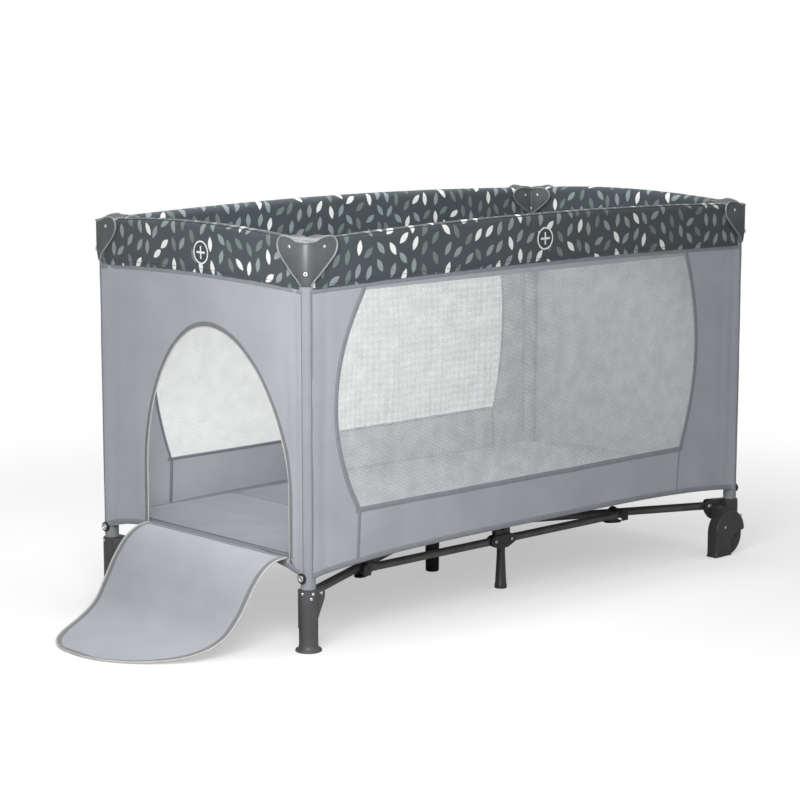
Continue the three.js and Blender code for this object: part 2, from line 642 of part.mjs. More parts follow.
function makeFlapStretch(from, to) {
  const steps = 7;
  const upper = [];
  const lower = [];
  for (let i = 0; i <= steps; i += 1) {
    const share = from + ((to - from) * i) / steps;
    const point = flapCurve.getPointAt(share);
    const tangent = flapCurve.getTangentAt(share);
    const normal = [-tangent.z, tangent.x];
    const half = flapThick / 2;
    upper.push([point.x - normal[0] * half, Math.max(point.z - normal[1] * half, 0)]);
    lower.push([point.x + normal[0] * half, Math.max(point.z + normal[1] * half, 0)]);
  }
  const side = slab([...upper, ...lower.reverse()], -260, 260);
  const plan = new THREE.Shape();
  const reach = 20;
  const left = [];
  const right = [];
  for (let i = 0; i <= reach; i += 1) {
    const share = from + ((to - from) * i) / reach;
    const { x } = flapCurve.getPointAt(share);
    const half = flapHalf(share * flapLength);
    const middle = door.middle + door.lean * share ** 3;
    left.push(new THREE.Vector2(x, middle + half));
    right.push(new THREE.Vector2(x, middle - half));
  }
  left[0].x += 8;
  right[0].x += 8;
  left[reach].x -= 8;
  right[reach].x -= 8;
  plan.setFromPoints([...left, ...right.reverse()]);
  const stamp = new THREE.ExtrudeGeometry(plan, { depth: 400, bevelEnabled: false });
  return side.intersect(placed(stamp, { at: [0, 0, -100] }));
}

for (const [i, name] of ['flap_top', 'flap_middle', 'flap_end'].entries()) {
  const margin = flapGap / 2 / flapLength;
  const from = flapHinges[i] + (i > 0 ? margin : 0.002);
  const to = flapHinges[i + 1] - (i < 2 ? margin : 0);
  cot.add(node(name, geometryOf(makeFlapStretch(from, to)), 'greyFabric'));
}

export default cot;
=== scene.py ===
import math
from bisect import bisect_right

import bmesh
import bpy
from mathutils import Matrix, Vector, noise
from mathutils.bvhtree import BVHTree


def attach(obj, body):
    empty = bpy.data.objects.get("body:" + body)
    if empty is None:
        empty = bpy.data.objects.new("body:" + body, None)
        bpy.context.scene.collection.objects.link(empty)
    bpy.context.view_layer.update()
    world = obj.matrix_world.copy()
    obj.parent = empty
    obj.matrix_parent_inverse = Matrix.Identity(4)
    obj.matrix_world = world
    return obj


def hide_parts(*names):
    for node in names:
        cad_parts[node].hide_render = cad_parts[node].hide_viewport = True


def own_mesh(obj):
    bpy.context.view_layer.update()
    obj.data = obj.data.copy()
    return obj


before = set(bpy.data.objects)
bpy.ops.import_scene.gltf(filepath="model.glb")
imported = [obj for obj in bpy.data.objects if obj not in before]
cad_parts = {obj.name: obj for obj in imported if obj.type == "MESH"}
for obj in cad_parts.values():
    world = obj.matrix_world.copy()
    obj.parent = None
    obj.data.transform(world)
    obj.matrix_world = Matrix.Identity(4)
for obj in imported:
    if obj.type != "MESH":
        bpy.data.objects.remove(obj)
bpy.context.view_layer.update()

# sizes that several pieces share, in metres
cot = {"legX": 0.6025, "legY": 0.3025, "wallX": 0.6055, "wallY": 0.3055, "longKeep": 0.1743, "shortKeep": 0.2607,
       "wallMid": 0.0113, "clothThick": 0.0012, "bandLow": 0.667, "bandRise": 0.008,
       "hemLow": 0.138, "hemRiseLong": 0.020, "hemRiseShort": 0.026}
# places of the base's hinge pins, in millimetres as the moulded pieces below
base = {"hubX": 57.5 - 35, "hubY": 57.5 - 30, "z": 100, "spanX": 545, "spanY": 245, "collarShare": 0.63}
base["length"] = math.hypot(base["spanX"], base["spanY"])
base["turn"] = math.atan2(base["spanY"], base["spanX"])
base["barY"] = base["hubY"] + base["collarShare"] * base["spanY"] + 20
corners = {"front_left": (-1, -1), "front_right": (1, -1), "back_left": (-1, 1), "back_right": (1, 1)}
wheeled = ("front_right", "back_right")

# the four sides: which way each faces, the body its cloth rides on, and what makes its ripples and its stretch of
# the print its own
sides = {
    "front": {"long": True, "way": -1, "body": "leg_front_left", "wallSeed": 1.3, "bandSeed": 0.7, "printAt": 0.0},
    "back": {"long": True, "way": 1, "body": "leg_back_left", "wallSeed": 5.1, "bandSeed": 4.4, "printAt": 2.03},
    "door": {"long": False, "way": -1, "body": "leg_back_left", "wallSeed": 9.7, "bandSeed": 8.8, "printAt": 4.11},
    "wheel": {"long": False, "way": 1, "body": "leg_back_right", "wallSeed": 13.9, "bandSeed": 12.2, "printAt": 6.07},
}
quarter = math.pi / 2


def placeOn(side, s, o, z):
    # from (along, outward, up), as a side is seen from outside, to a place in the cot
    way = sides[side]["way"]
    if sides[side]["long"]:
        return Vector((-way * s, way * (cot["legY"] + o), z))
    return Vector((way * (cot["legX"] + o), way * s, z))


# materials
def paint(hexText):
    # sRGB hex to linear colour
    channels = [int(hexText[i:i + 2], 16) / 255 for i in (0, 2, 4)]
    return [c / 12.92 if c <= 0.04045 else ((c + 0.055) / 1.055) ** 2.4 for c in channels] + [1]


def setInputs(node, inputs):
    # each input takes a value or the socket that feeds it
    for key, value in inputs.items():
        if isinstance(value, bpy.types.NodeSocket):
            node.id_data.links.new(value, node.inputs[key])
        else:
            node.inputs[key].default_value = value


def addNode(tree, kind, inputs, out=0, **settings):
    # gives back the output socket that the next node takes
    made = tree.nodes.new("ShaderNode" + kind)
    for key, value in settings.items():
        setattr(made, key, value)
    setInputs(made, inputs)
    return made.outputs[out] if len(made.outputs) else None


def maths(tree, operation, *values):
    return addNode(tree, "Math", dict(enumerate(values)), operation=operation)


def vectors(tree, operation, *values, out=0):
    return addNode(tree, "VectorMath", dict(enumerate(values)), out, operation=operation)


def clouds(tree, where, scale, detail, **more):
    return addNode(tree, "TexNoise", {"Vector": where, "Scale": scale, "Detail": detail, **more})


def bumped(tree, height, distance, strength=0.5, **more):
    return addNode(tree, "Bump", {"Height": height, "Distance": distance, "Strength": strength, **more})


def newMaterial(name, coordinates):
    made = bpy.data.materials.new(name)
    made.use_nodes = True
    tree = made.node_tree
    return made, tree, tree.nodes["Principled BSDF"], addNode(tree, "TexCoord", {}, coordinates)


def shadeBetween(tree, factor, low, high, fromLow=0.35, fromHigh=0.65):
    # a colour that drifts from low to high as factor goes between two levels
    colour = addNode(tree, "ValToRGB", {"Fac": factor}, "Color")
    for stop, place, shade in zip(colour.node.color_ramp.elements, (fromLow, fromHigh), (low, high)):
        stop.position, stop.color = place, paint(shade)
    return colour


def mouldedPlastic(name, low, high, roughness):
    # injection-moulded nylon or polypropylene: even colour with faint flow marks, a fine spark-eroded grain drawn
    # about 1 mm coarse so that it shows, and rubbed, slightly glossier patches
    grain, relief = 1.1, 0.035
    made, tree, surface, where = newMaterial(name, "Object")
    flow = clouds(tree, where, 14, 3)
    setInputs(surface, {
        "IOR": 1.5, "Base Color": shadeBetween(tree, flow, low, high),
        "Roughness": addNode(tree, "MapRange", {
            "Value": flow, "To Min": roughness - 0.06, "To Max": roughness + 0.08}),
        "Normal": bumped(tree, clouds(tree, where, 1000 / grain, 2), relief / 1000)})
    return made


waveRepeat = 314  # millimetres between the bands of a wave texture at scale 1


def wovenCloth(name, low, high, pitch, relief=0.12, roughness=0.92):
    # plain-woven polyester: matt, a little sheen at grazing angles, threads about 0.4 mm apart drawn at `pitch`
    # millimetres so that they show, and soft hand-sized creases
    creases = 0.0072
    made, tree, surface, where = newMaterial(name, "UV")
    drift = clouds(tree, where, 9, 5, Roughness=0.6)
    wave = {"Vector": where, "Scale": waveRepeat / pitch, "Distortion": 0.15}
    warp, weft = [addNode(tree, "TexWave", wave, "Fac", bands_direction=way) for way in "XY"]
    threads = maths(tree, "MULTIPLY", warp, weft)
    tone = maths(tree, "MULTIPLY_ADD", threads, 0.35, drift)
    setInputs(surface, {
        "Roughness": roughness, "Sheen Weight": 0.2, "Sheen Roughness": 0.5, "Specular IOR Level": 0.25,
        "Base Color": shadeBetween(tree, tone, low, high, 0.3, 0.9)})
    creased = bumped(tree, clouds(tree, where, 7, 3), creases)
    setInputs(surface, {"Normal": bumped(tree, threads, relief / 1000, 0.6, Normal=creased)})
    return made


def powderCoatedSteel():
    # drawn steel tube under a satin polyester powder coat: fine orange peel a few millimetres across
    made, tree, surface, where = newMaterial("powderCoatedSteel", "Object")
    setInputs(surface, {
        "Roughness": 0.3, "IOR": 1.5, "Metallic": 0.15,
        "Base Color": shadeBetween(tree, clouds(tree, where, 22, 4), "5b5b5e", "6d6d70"),
        "Normal": bumped(tree, clouds(tree, where, 420, 1), 0.00008)})
    return made


def zincPlatedSteel():
    # turned rivets and snap studs under bright zinc: a soft metal gleam, rougher in fine spots
    made, tree, surface, where = newMaterial("zincPlatedSteel", "Object")
    spots = clouds(tree, where, 900, 2)
    setInputs(surface, {
        "Metallic": 0.75, "Base Color": shadeBetween(tree, spots, "c9cacc", "e8e9ea"),
        "Roughness": addNode(tree, "MapRange", {"Value": spots, "To Min": 0.25, "To Max": 0.42})})
    return made


leafPrint = {"cellWide": 0.0280, "cellTall": 0.0370, "leafLong": 0.0290, "leafWide": 0.0122, "jitter": 0.008,
             "tilt": 1.9, "lean": 0.56, "whiteShare": 0.22, "paleShare": 0.62,
             "ground": ("3e474b", "495155"), "white": "e9ebe8", "pale": "8d9899", "deep": "6f7b79"}


def printedPolyester():
    # transfer-printed polyester over foam: dark slate ground with scattered plain almond leaves in white and two
    # greens, one leaf to a cell, each column of cells slid by its own amount
    p = leafPrint
    made = wovenCloth("printedPolyester", *p["ground"], pitch=1.4, relief=0.10, roughness=0.85)
    tree = made.node_tree
    where = tree.nodes["Texture Coordinate"].outputs["UV"]
    cell = vectors(tree, "DIVIDE", where, (p["cellWide"], p["cellTall"], 1))
    column = maths(tree, "FLOOR", addNode(tree, "SeparateXYZ", {0: cell}))
    slide = addNode(tree, "TexWhiteNoise", {"W": column}, noise_dimensions="1D")
    slid = vectors(tree, "ADD", cell, addNode(tree, "CombineXYZ", {"Y": slide}))
    cellId = vectors(tree, "FLOOR", slid)
    chance = addNode(tree, "TexWhiteNoise", {"Vector": cellId}, "Color", noise_dimensions="3D")
    centred = vectors(tree, "SUBTRACT", vectors(tree, "FRACTION", slid), (0.5, 0.5, 0))
    sized = vectors(tree, "MULTIPLY", centred, (p["cellWide"], p["cellTall"], 0))
    spread = vectors(tree, "SUBTRACT", chance, (0.5, 0.5, 0.5))
    local = vectors(tree, "SUBTRACT", sized, vectors(tree, "MULTIPLY", spread, (p["jitter"], p["jitter"], 0)))
    lean = maths(tree, "SUBTRACT", addNode(tree, "SeparateColor", {0: chance}, "Blue"), p["lean"])
    angle = maths(tree, "MULTIPLY", lean, -p["tilt"])
    turned = addNode(tree, "VectorRotate", {"Vector": local, "Angle": angle}, rotation_type="Z_AXIS")
    axes = addNode(tree, "SeparateXYZ", {0: turned}).node.outputs
    across = maths(tree, "ABSOLUTE", axes["X"])
    along = maths(tree, "MULTIPLY", axes["Y"], 2 / p["leafLong"])
    taper = maths(tree, "SUBTRACT", 1.0, maths(tree, "MULTIPLY", along, along))
    within = maths(tree, "SUBTRACT", maths(tree, "MULTIPLY", taper, p["leafWide"] / 2), across)
    mask = addNode(tree, "MapRange", {"Value": within, "From Min": -0.0002, "From Max": 0.0003}, clamp=True)
    pick = addNode(tree, "TexWhiteNoise", {"Vector": cellId, "W": 3.7}, noise_dimensions="4D")
    tint = shadeBetween(tree, pick, p["white"], p["pale"], 0, p["whiteShare"])
    tint.node.color_ramp.interpolation = "CONSTANT"
    tint.node.color_ramp.elements.new(p["paleShare"]).color = paint(p["deep"])
    colour = tree.nodes["Principled BSDF"].inputs["Base Color"]
    printed = addNode(tree, "Mix", {0: mask, 6: colour.links[0].from_socket, 7: tint}, 2, data_type="RGBA")
    tree.links.new(printed, colour)
    return made


def netting():
    # warp-knitted polyester net: holes a little over 1 mm wide in the real cloth, drawn 2.6 mm apart
    hole = 0.0026
    made, tree, surface, where = newMaterial("polyesterNet", "UV")
    sized = vectors(tree, "MULTIPLY", where, (1 / hole, 1 / hole, 1))
    cells = addNode(tree, "TexVoronoi", {"Vector": sized, "Scale": 1.0, "Randomness": 0.12}, voronoi_dimensions="2D")
    solid = {"Value": cells, "From Min": 0.41, "From Max": 0.53, "To Min": 0.07, "To Max": 1.0}
    setInputs(surface, {
        "Roughness": 0.8, "Sheen Weight": 0.1, "Alpha": addNode(tree, "MapRange", solid),
        "Base Color": shadeBetween(tree, clouds(tree, where, 30, 2), "d3d5d6", "e6e7e8")})
    return made


def sewnTape(name, low, high, ribs=2.2):
    # woven polyester binding tape: dense ribs across it, `ribs` millimetres apart
    made, tree, surface, where = newMaterial(name, "UV")
    rib = addNode(tree, "TexWave", {"Vector": where, "Scale": waveRepeat / ribs}, "Fac", bands_direction="Y")
    tone = maths(tree, "MULTIPLY_ADD", rib, 0.3, clouds(tree, where, 60, 3))
    setInputs(surface, {
        "Roughness": 0.85, "Sheen Weight": 0.15, "Specular IOR Level": 0.3,
        "Base Color": shadeBetween(tree, tone, low, high, 0.3, 0.95), "Normal": bumped(tree, rib, 0.0002, 0.6)})
    return made


finish = {
    "steel": powderCoatedSteel(),
    "zinc": zincPlatedSteel(),
    "footNylon": mouldedPlastic("mouldedGreyNylon", "464648", "555557", 0.42),
    "hoodNylon": mouldedPlastic("mouldedDarkNylon", "38383a", "444446", 0.36),
    "capPlastic": mouldedPlastic("mouldedGreyPolypropylene", "55595a", "636768", 0.33),
    # the cap plastic drawn lighter, as a painted highlight on the caps' rolled lips and inner crease rib
    "capHighlight": mouldedPlastic("greyPolypropyleneHighlight", "808485", "969a9b", 0.25),
    "blackNylon": mouldedPlastic("mouldedBlackNylon", "1b1c1d", "29292a", 0.42),
    "wheelPlastic": mouldedPlastic("mouldedWheelPolypropylene", "353536", "444445", 0.5),
    "wallCloth": wovenCloth("polyesterOxford", "9ea2a8", "adb1b6", 1.6),
    # the wall cloth drawn darker for the leg sleeves, as painted shade on their round faces
    "sleeveClothShaded": wovenCloth("shadedSleeveOxford", "8a8e93", "989ca1", 1.6),
    "flapCloth": wovenCloth("flapOxford", "989ca1", "a7aaaf", 1.6),
    "mattressCloth": wovenCloth("mattressOxford", "777b80", "85898e", 1.8),
    "baseCloth": wovenCloth("baseOxford", "7c8086", "8a8e94", 1.8),
    "print": printedPolyester(),
    "net": netting(),
    "tape": sewnTape("greyBindingTape", "7f8389", "8e9298"),
    "darkTape": sewnTape("zipTape", "6f7378", "80848a"),
    "piping": sewnTape("creamPiping", "b3b2aa", "c6c5be", 3),
    "bandThread": sewnTape("slateThread", "2f393d", "3c484c", 1.6),
    "badge": sewnTape("whiteBadgeWeave", "dfe2e0", "eff1ef", 1.2),
    "badgeGround": sewnTape("slateBadgeWeave", "343f43", "3d484c", 1.2),
}


# curves and sections
def ease(t):
    t = max(0.0, min(1.0, t))
    return t * t * (3 - 2 * t)


def spread(low, high, steps):
    return [low + (high - low) * i / steps for i in range(steps + 1)]


def lengthsAlong(points):
    made = [0.0]
    for a, b in zip(points, points[1:]):
        made.append(made[-1] + math.dist(a, b))
    return made


def pointAt(points, lengths, want):
    # the place a distance along a path, and the number of the span that it is in
    k = max(0, min(len(points) - 2, bisect_right(lengths, want) - 1))
    share = (want - lengths[k]) / max(1e-9, lengths[k + 1] - lengths[k])
    return points[k].lerp(points[k + 1], min(1, share)), k


def traced(*parts):
    # an outline of points and of bezier curves; a curve is a list of control points, then its number of steps
    made = []
    for part in parts:
        if isinstance(part, list):
            start = made[-1]
            for t in spread(0, 1, part[-1])[1:]:
                row = [start] + [Vector(p) for p in part[:-1]]
                while len(row) > 1:
                    row = [a.lerp(b, t) for a, b in zip(row, row[1:])]
                made.append(row[0])
        else:
            made.append(Vector(part))
    return made


def roundSection(halfWide, halfHigh, ring=12, power=2.0):
    # a superellipse; a higher power is squarer
    points = []
    for i in range(ring):
        c, s = math.cos(2 * math.pi * i / ring), math.sin(2 * math.pi * i / ring)
        points.append((math.copysign(abs(c) ** (2 / power), c) * halfWide,
                       math.copysign(abs(s) ** (2 / power), s) * halfHigh))
    return points


def stationsAlong(points, ups):
    # frames along a path: across lies in the surface, up leaves it
    made = []
    for k, point in enumerate(points):
        tangent = (points[min(len(points) - 1, k + 1)] - points[max(0, k - 1)]).normalized()
        across = tangent.cross(ups[k] if isinstance(ups, list) else ups).normalized()
        made.append((point, across, across.cross(tangent).normalized()))
    return made


# mesh helpers
def outwardFaces(bm):
    bmesh.ops.recalc_face_normals(bm, faces=bm.faces)
    return bm


def upwardFaces(bm):
    # one side of an open sheet is its upper one
    outwardFaces(bm)
    if sum(face.normal.z for face in bm.faces) < 0:
        bmesh.ops.reverse_faces(bm, faces=bm.faces)
    return bm


def gridOf(bm, nu, nv, point, uvAt):
    # a grid whose two shares, from 0 to 1, are turned to a place by point and to cloth metres by uvAt
    made = bmesh.ops.create_grid(bm, x_segments=nu, y_segments=nv, size=1)["verts"]
    share = {vert: ((vert.co.x + 1) / 2, (vert.co.y + 1) / 2) for vert in made}
    layer = bm.loops.layers.uv.verify()
    for face in [f for f in bm.faces if f.verts[0] in share]:
        for loop in face.loops:
            loop[layer].uv = uvAt(*share[loop.vert])
    for vert in made:
        vert.co = point(*share[vert])
    return made


def sweep(bm, stations, sectionAt, ring, closed=False):
    # a closed section carried along stations of (point, across, up); sectionAt gives its (across, up) points
    last = len(stations) - 1
    lengths = lengthsAlong([station[0] for station in stations])
    sections = [sectionAt(k) for k in range(len(stations))]
    around = lengthsAlong(sections[0] + sections[0][:1])

    def point(u, v):
        centre, across, up = stations[round(v * last)]
        x, y = sections[round(v * last)][round(u * ring) % ring]
        return centre + across * x + up * y

    made = gridOf(bm, ring, last, point, lambda u, v: (around[round(u * ring)], lengths[round(v * last)]))
    bmesh.ops.remove_doubles(bm, verts=made, dist=1e-6)
    if not closed:
        bmesh.ops.holes_fill(bm, edges=[e for e in bm.edges if e.is_boundary], sides=0)


def swept(stations, sectionAt, ring):
    bm = bmesh.new()
    sweep(bm, stations, sectionAt, ring)
    return outwardFaces(bm)


def extruded(points, along):
    bm = bmesh.new()
    face = bm.faces.new([bm.verts.new(p) for p in points])
    grown = bmesh.ops.extrude_face_region(bm, geom=[face])["geom"]
    bmesh.ops.translate(bm, vec=along, verts=[g for g in grown if isinstance(g, bmesh.types.BMVert)])
    return outwardFaces(bm)


def rounded(bm, edges, offset, segments):
    bmesh.ops.bevel(bm, geom=edges, offset=offset, segments=segments, profile=0.5, affect="EDGES", material=-1,
                    clamp_overlap=True)
    return bm


def slab(outline, low, high, bevel=0.0, segments=3):
    # an outline in the XZ plane given a thickness along Y, with its edges rounded
    bm = extruded([(x, low, z) for x, z in outline], (0, high - low, 0))
    if bevel:
        rim = [e for e in bm.edges if e.is_manifold and e.calc_face_angle(0) > 0.6]
        outwardFaces(rounded(bm, rim, bevel, segments))
    return bm


def turnedPiece(profile, steps=48):
    # a profile of (radius, height) spun about Z
    bm = bmesh.new()
    verts = [bm.verts.new((r, 0, z)) for r, z in profile]
    edges = [bm.edges.new(pair) for pair in zip(verts, verts[1:])]
    bmesh.ops.spin(bm, geom=verts + edges, cent=(0, 0, 0), axis=(0, 0, 1), angle=2 * math.pi, steps=steps,
                   use_merge=True)
    bmesh.ops.remove_doubles(bm, verts=bm.verts, dist=1e-5)
    rim = [e for e in bm.edges if e.is_boundary]
    if rim:
        bmesh.ops.holes_fill(bm, edges=rim, sides=0)
    return outwardFaces(bm)


def placed(bm, at, *turns):
    # turned by each (angle, axis), the last one first, and then carried to a place
    matrix = Matrix.Translation(at)
    for angle, axis in turns:
        matrix = matrix @ Matrix.Rotation(angle, 4, axis)
    bmesh.ops.transform(bm, matrix=matrix, verts=bm.verts)
    return bm


def swapped(bm, really=True):
    # mirrored in the line x = y
    if really:
        mirror = Matrix(((0, 1, 0, 0), (1, 0, 0, 0), (0, 0, 1, 0), (0, 0, 0, 1)))
        bmesh.ops.transform(bm, matrix=mirror, verts=bm.verts)
        bmesh.ops.reverse_faces(bm, faces=bm.faces)
    return bm


def block(low, high):
    bm = bmesh.new()
    bmesh.ops.create_cube(bm, size=1)
    bmesh.ops.scale(bm, vec=Vector(high) - Vector(low), verts=bm.verts)
    return placed(bm, (Vector(high) + Vector(low)) / 2)


def temporary(bm):
    mesh = bpy.data.meshes.new("temporary")
    bm.to_mesh(mesh)
    bm.free()
    made = bpy.data.objects.new("temporary", mesh)
    bpy.context.scene.collection.objects.link(made)
    return made


def combined(whole, *tools, operation="DIFFERENCE"):
    # solids added to or cut from a solid
    whole = temporary(whole)
    helpers = [temporary(tool) for tool in tools]
    for helper in helpers:
        cut = whole.modifiers.new("cut", "BOOLEAN")
        cut.operation, cut.object, cut.solver = operation, helper, "EXACT"
    bpy.context.view_layer.update()
    made = bmesh.new()
    made.from_mesh(whole.evaluated_get(bpy.context.evaluated_depsgraph_get()).to_mesh())
    for item in [whole, *helpers]:
        mesh = item.data
        bpy.data.objects.remove(item)
        bpy.data.meshes.remove(mesh)
    return made


def merged(whole, *parts):
    # several closed shells in one mesh
    for part in parts:
        mesh = bpy.data.meshes.new("temporary")
        part.to_mesh(mesh)
        part.free()
        whole.from_mesh(mesh)
        bpy.data.meshes.remove(mesh)
    return whole


def finishPiece(bm, name, material, body, slot, replaces=(), sharp=40):
    mesh = bpy.data.meshes.new(name)
    for edge in bm.edges:
        edge.smooth = edge.is_manifold and edge.calc_face_angle(0) <= math.radians(sharp)
    for face in bm.faces:
        face.smooth = True
    bm.to_mesh(mesh)
    bm.free()
    made = bpy.data.objects.new(name, mesh)
    bpy.context.scene.collection.objects.link(made)
    mesh.materials.append(finish[material])
    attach(made, body)
    if replaces:
        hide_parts(*replaces)
    return made


def cornerPiece(bm, corner, name, material, body, slot, replaced=None, sharp=40):
    # from millimetres inward of a leg to that corner in metres; the corner's name goes where a name has {}
    x, y = corners[corner]
    bmesh.ops.transform(bm, verts=bm.verts, matrix=Matrix((
        (-x / 1000, 0, 0, x * cot["legX"]), (0, -y / 1000, 0, y * cot["legY"]), (0, 0, 0.001, 0), (0, 0, 0, 1))))
    if x * y < 0:
        bmesh.ops.reverse_faces(bm, faces=bm.faces)
    replaces = [replaced.format(corner)] if replaced else ()
    finishPiece(bm, name.format(corner), material, body.format(corner), slot, replaces, sharp)


def foldWith(piece):
    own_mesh(piece)
    return piece


def mouldedCopy(node, name, material, slot, rounding=0.0007):
    # the frame's own shape, merged and with its edges rounded as a mould leaves them
    bm = bmesh.new()
    bm.from_mesh(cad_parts[node].data)
    bmesh.ops.remove_doubles(bm, verts=bm.verts, dist=2e-6)
    bmesh.ops.dissolve_limit(bm, angle_limit=math.radians(1.0), verts=bm.verts, edges=bm.edges)
    edges = finishPiece(bm, name, material, node, slot, [node], sharp=32).modifiers.new("edges", "BEVEL")
    edges.width, edges.segments, edges.limit_method, edges.angle_limit = rounding, 2, "ANGLE", math.radians(32)
    edges.use_clamp_overlap, edges.miter_outer = True, "MITER_ARC"


def rivet(radius, height):
    # a domed head that stands on Z = 0
    return turnedPiece([(0.001, height), (radius * 0.45, height * 0.92), (radius * 0.8, height * 0.62),
                        (radius, height * 0.2), (radius, -0.6), (0.001, -0.6)], steps=20)


print("stage: helpers ready")

# studio
studio = {"eye": (-3.358, -3.513, 1.162), "yaw": 42.91, "pitch": 9.34, "lens": 106.8, "sky": 0.43, "floor": "c0c0c0",
          "floorLift": 0.47, "fadeFrom": 0.95, "fadeTo": 2.0}
# soft boxes: power in watts, width and depth in metres, where each stands and where it looks
softBoxes = {"keyLight": (19.5, 0.8, 0.8, (-1.42, -1.02, 1.02), (-0.5, -0.3, 0.4)),
             "topLight": (4.6, 1.0, 0.4, (-0.05, 0.20, 1.40), (-0.05, 0.20, 0.2)),
             "insideLight": (1.3, 1.0, 0.25, (0.0, -0.18, 0.55), (0.0, 0.28, 0.05)),
             "floorLight": (26, 2.4, 2.4, (0.0, 0.35, 2.6), (0.0, 0.35, 0.0))}


def inScene(name, data, stands, looks):
    made = bpy.data.objects.new(name, data)
    made.location = stands
    made.rotation_euler = Vector(looks).to_track_quat("-Z", "Y").to_euler()
    bpy.context.scene.collection.objects.link(made)
    return made


def emptied(data):
    # a node tree with only the answer to: is this ray for the eye?
    data.use_nodes = True
    tree = data.node_tree
    tree.nodes.clear()
    rays = addNode(tree, "LightPath", {}).node.outputs
    return tree, maths(tree, "MAXIMUM", rays["Is Camera Ray"], rays["Is Transmission Ray"])


def buildStudio():
    yaw, pitch = math.radians(studio["yaw"]), math.radians(studio["pitch"])
    looks = (math.sin(yaw) * math.cos(pitch), math.cos(yaw) * math.cos(pitch), -math.sin(pitch))
    camera = inScene("camera", bpy.data.cameras.new("camera"), studio["eye"], looks)
    camera.data.lens, camera.data.sensor_width, camera.data.clip_end = studio["lens"], 36, 200
    bpy.context.scene.camera = camera
    bpy.context.scene.view_settings.view_transform = "Standard"

    world = bpy.data.worlds.new("studioLight")
    bpy.context.scene.world = world
    white = (1, 1, 1, 1)
    tree, seen = emptied(world)
    soft = addNode(tree, "Background", {"Color": white, "Strength": studio["sky"]})
    plain = addNode(tree, "Background", {"Color": white, "Strength": 1.0})
    addNode(tree, "OutputWorld", {"Surface": addNode(tree, "MixShader", {0: seen, 1: soft, 2: plain})})

    for name, (power, width, depth, stands, aims) in softBoxes.items():
        lamp = bpy.data.lights.new(name, "AREA")
        lamp.shape = "RECTANGLE"
        lamp.energy, lamp.size, lamp.size_y = power, width, depth
        inScene(name, lamp, stands, Vector(aims) - Vector(stands)).visible_camera = False

    # matt white studio paint: for the eye only, it is lifted a little, and fades to plain white away from the object
    floorPaint = bpy.data.materials.new("studioPaint")
    tree, seen = emptied(floorPaint)
    lift = maths(tree, "MULTIPLY", seen, studio["floorLift"])
    matt = addNode(tree, "BsdfDiffuse", {"Color": paint(studio["floor"])})
    glow = addNode(tree, "Emission", {"Color": white, "Strength": lift})
    lit = addNode(tree, "AddShader", {0: matt, 1: glow})
    away = vectors(tree, "LENGTH", addNode(tree, "TexCoord", {}, "Object"), out="Value")
    fade = addNode(tree, "MapRange", {"Value": away, "From Min": studio["fadeFrom"], "From Max": studio["fadeTo"]},
                   interpolation_type="SMOOTHSTEP")
    share = maths(tree, "MULTIPLY", fade, seen)
    plain = addNode(tree, "Emission", {"Color": white})
    addNode(tree, "OutputMaterial", {"Surface": addNode(tree, "MixShader", {0: share, 1: lit, 2: plain})})
    bm = bmesh.new()
    bmesh.ops.create_grid(bm, x_segments=4, y_segments=4, size=60)
    mesh = bpy.data.meshes.new("studioFloor")
    bm.to_mesh(mesh)
    bm.free()
    mesh.materials.append(floorPaint)
    floor = bpy.data.objects.new("studioFloor", mesh)
    bpy.context.scene.collection.objects.link(floor)


buildStudio()
print("stage: studio")

# corner legs, feet, caps and wheels, in millimetres inward of each leg's axis
leg = {"radius": 12.5, "wall": 1.2, "top": 735, "plainBottom": 30, "wheelBottom": 98.3, "edge": 0.4, "bore": 12.8}
# the stud that holds the hem: profiles of a moulded ring and of the metal eye in it, and the eye's slot
snap = {"z": 138,
        "ring": ((5.4, 12), (8.3, 12), (9.8, 14.4), (9.8, 17.2), (8.6, 18.6), (7.6, 18.9), (6, 18), (5.4, 16.8),
                 (5.4, 12)),
        "eye": ((0.001, 12), (6.9, 12), (6.9, 18.6), (6.2, 19.5), (4.6, 19.5), (3.9, 18.2), (0.001, 18.2)),
        "slotLong": 3.9, "slotHalf": 0.9, "slotFrom": 16.8}


def buildLeg(corner):
    low = leg["wheelBottom" if corner in wheeled else "plainBottom"]
    r, inner, top, edge = leg["radius"], leg["radius"] - leg["wall"], leg["top"], leg["edge"]
    tube = turnedPiece([(inner, low), (inner, top), (r - edge, top), (r, top - edge), (r, low + edge),
                        (r - edge, low), (inner, low)])
    cornerPiece(tube, corner, "legTube_{}", "steel", "leg_{}", "tube", "leg_{}")
    z, half = snap["z"], snap["slotHalf"]
    ring, eye = [placed(turnedPiece(snap[part], steps), (0, 0, z), (quarter, "Y"))
                 for part, steps in (("ring", 36), ("eye", 28))]
    slot = block((snap["slotFrom"], -snap["slotLong"], z - half), (21, snap["slotLong"], z + half))
    for bm, name, material, surface in ((ring, "snapRing_{}", "blackNylon", "black_plastic"),
                                        (combined(eye, slot), "snapEye_{}", "zinc", "tube")):
        bmesh.ops.scale(bm, vec=(-1, 1, 1), verts=bm.verts)
        cornerPiece(outwardFaces(bm), corner, name, material, "leg_{}", surface)


# the cheeks on a foot that hold a diagonal's end, at (u, v) and turned along it
fork = {"u": 35, "v": 30, "half": 8, "slot": 3.4, "head": 116, "radius": 17.8}
footRivets = {
    False: [((-17.6, -3.1, 110), 190), ((-6.7, -16.5, 101), 248), ((21, -13.1, 108), -90), ((-3.1, -17.6, 110), 260)],
    True: [((-17.7, 0, 108), 180), ((0, -33.4, 84), -90), ((52, -33.4, 64), -90)]}


def placeFork(bm):
    return placed(bm, (fork["u"], fork["v"], 0), (base["turn"], "Z"))


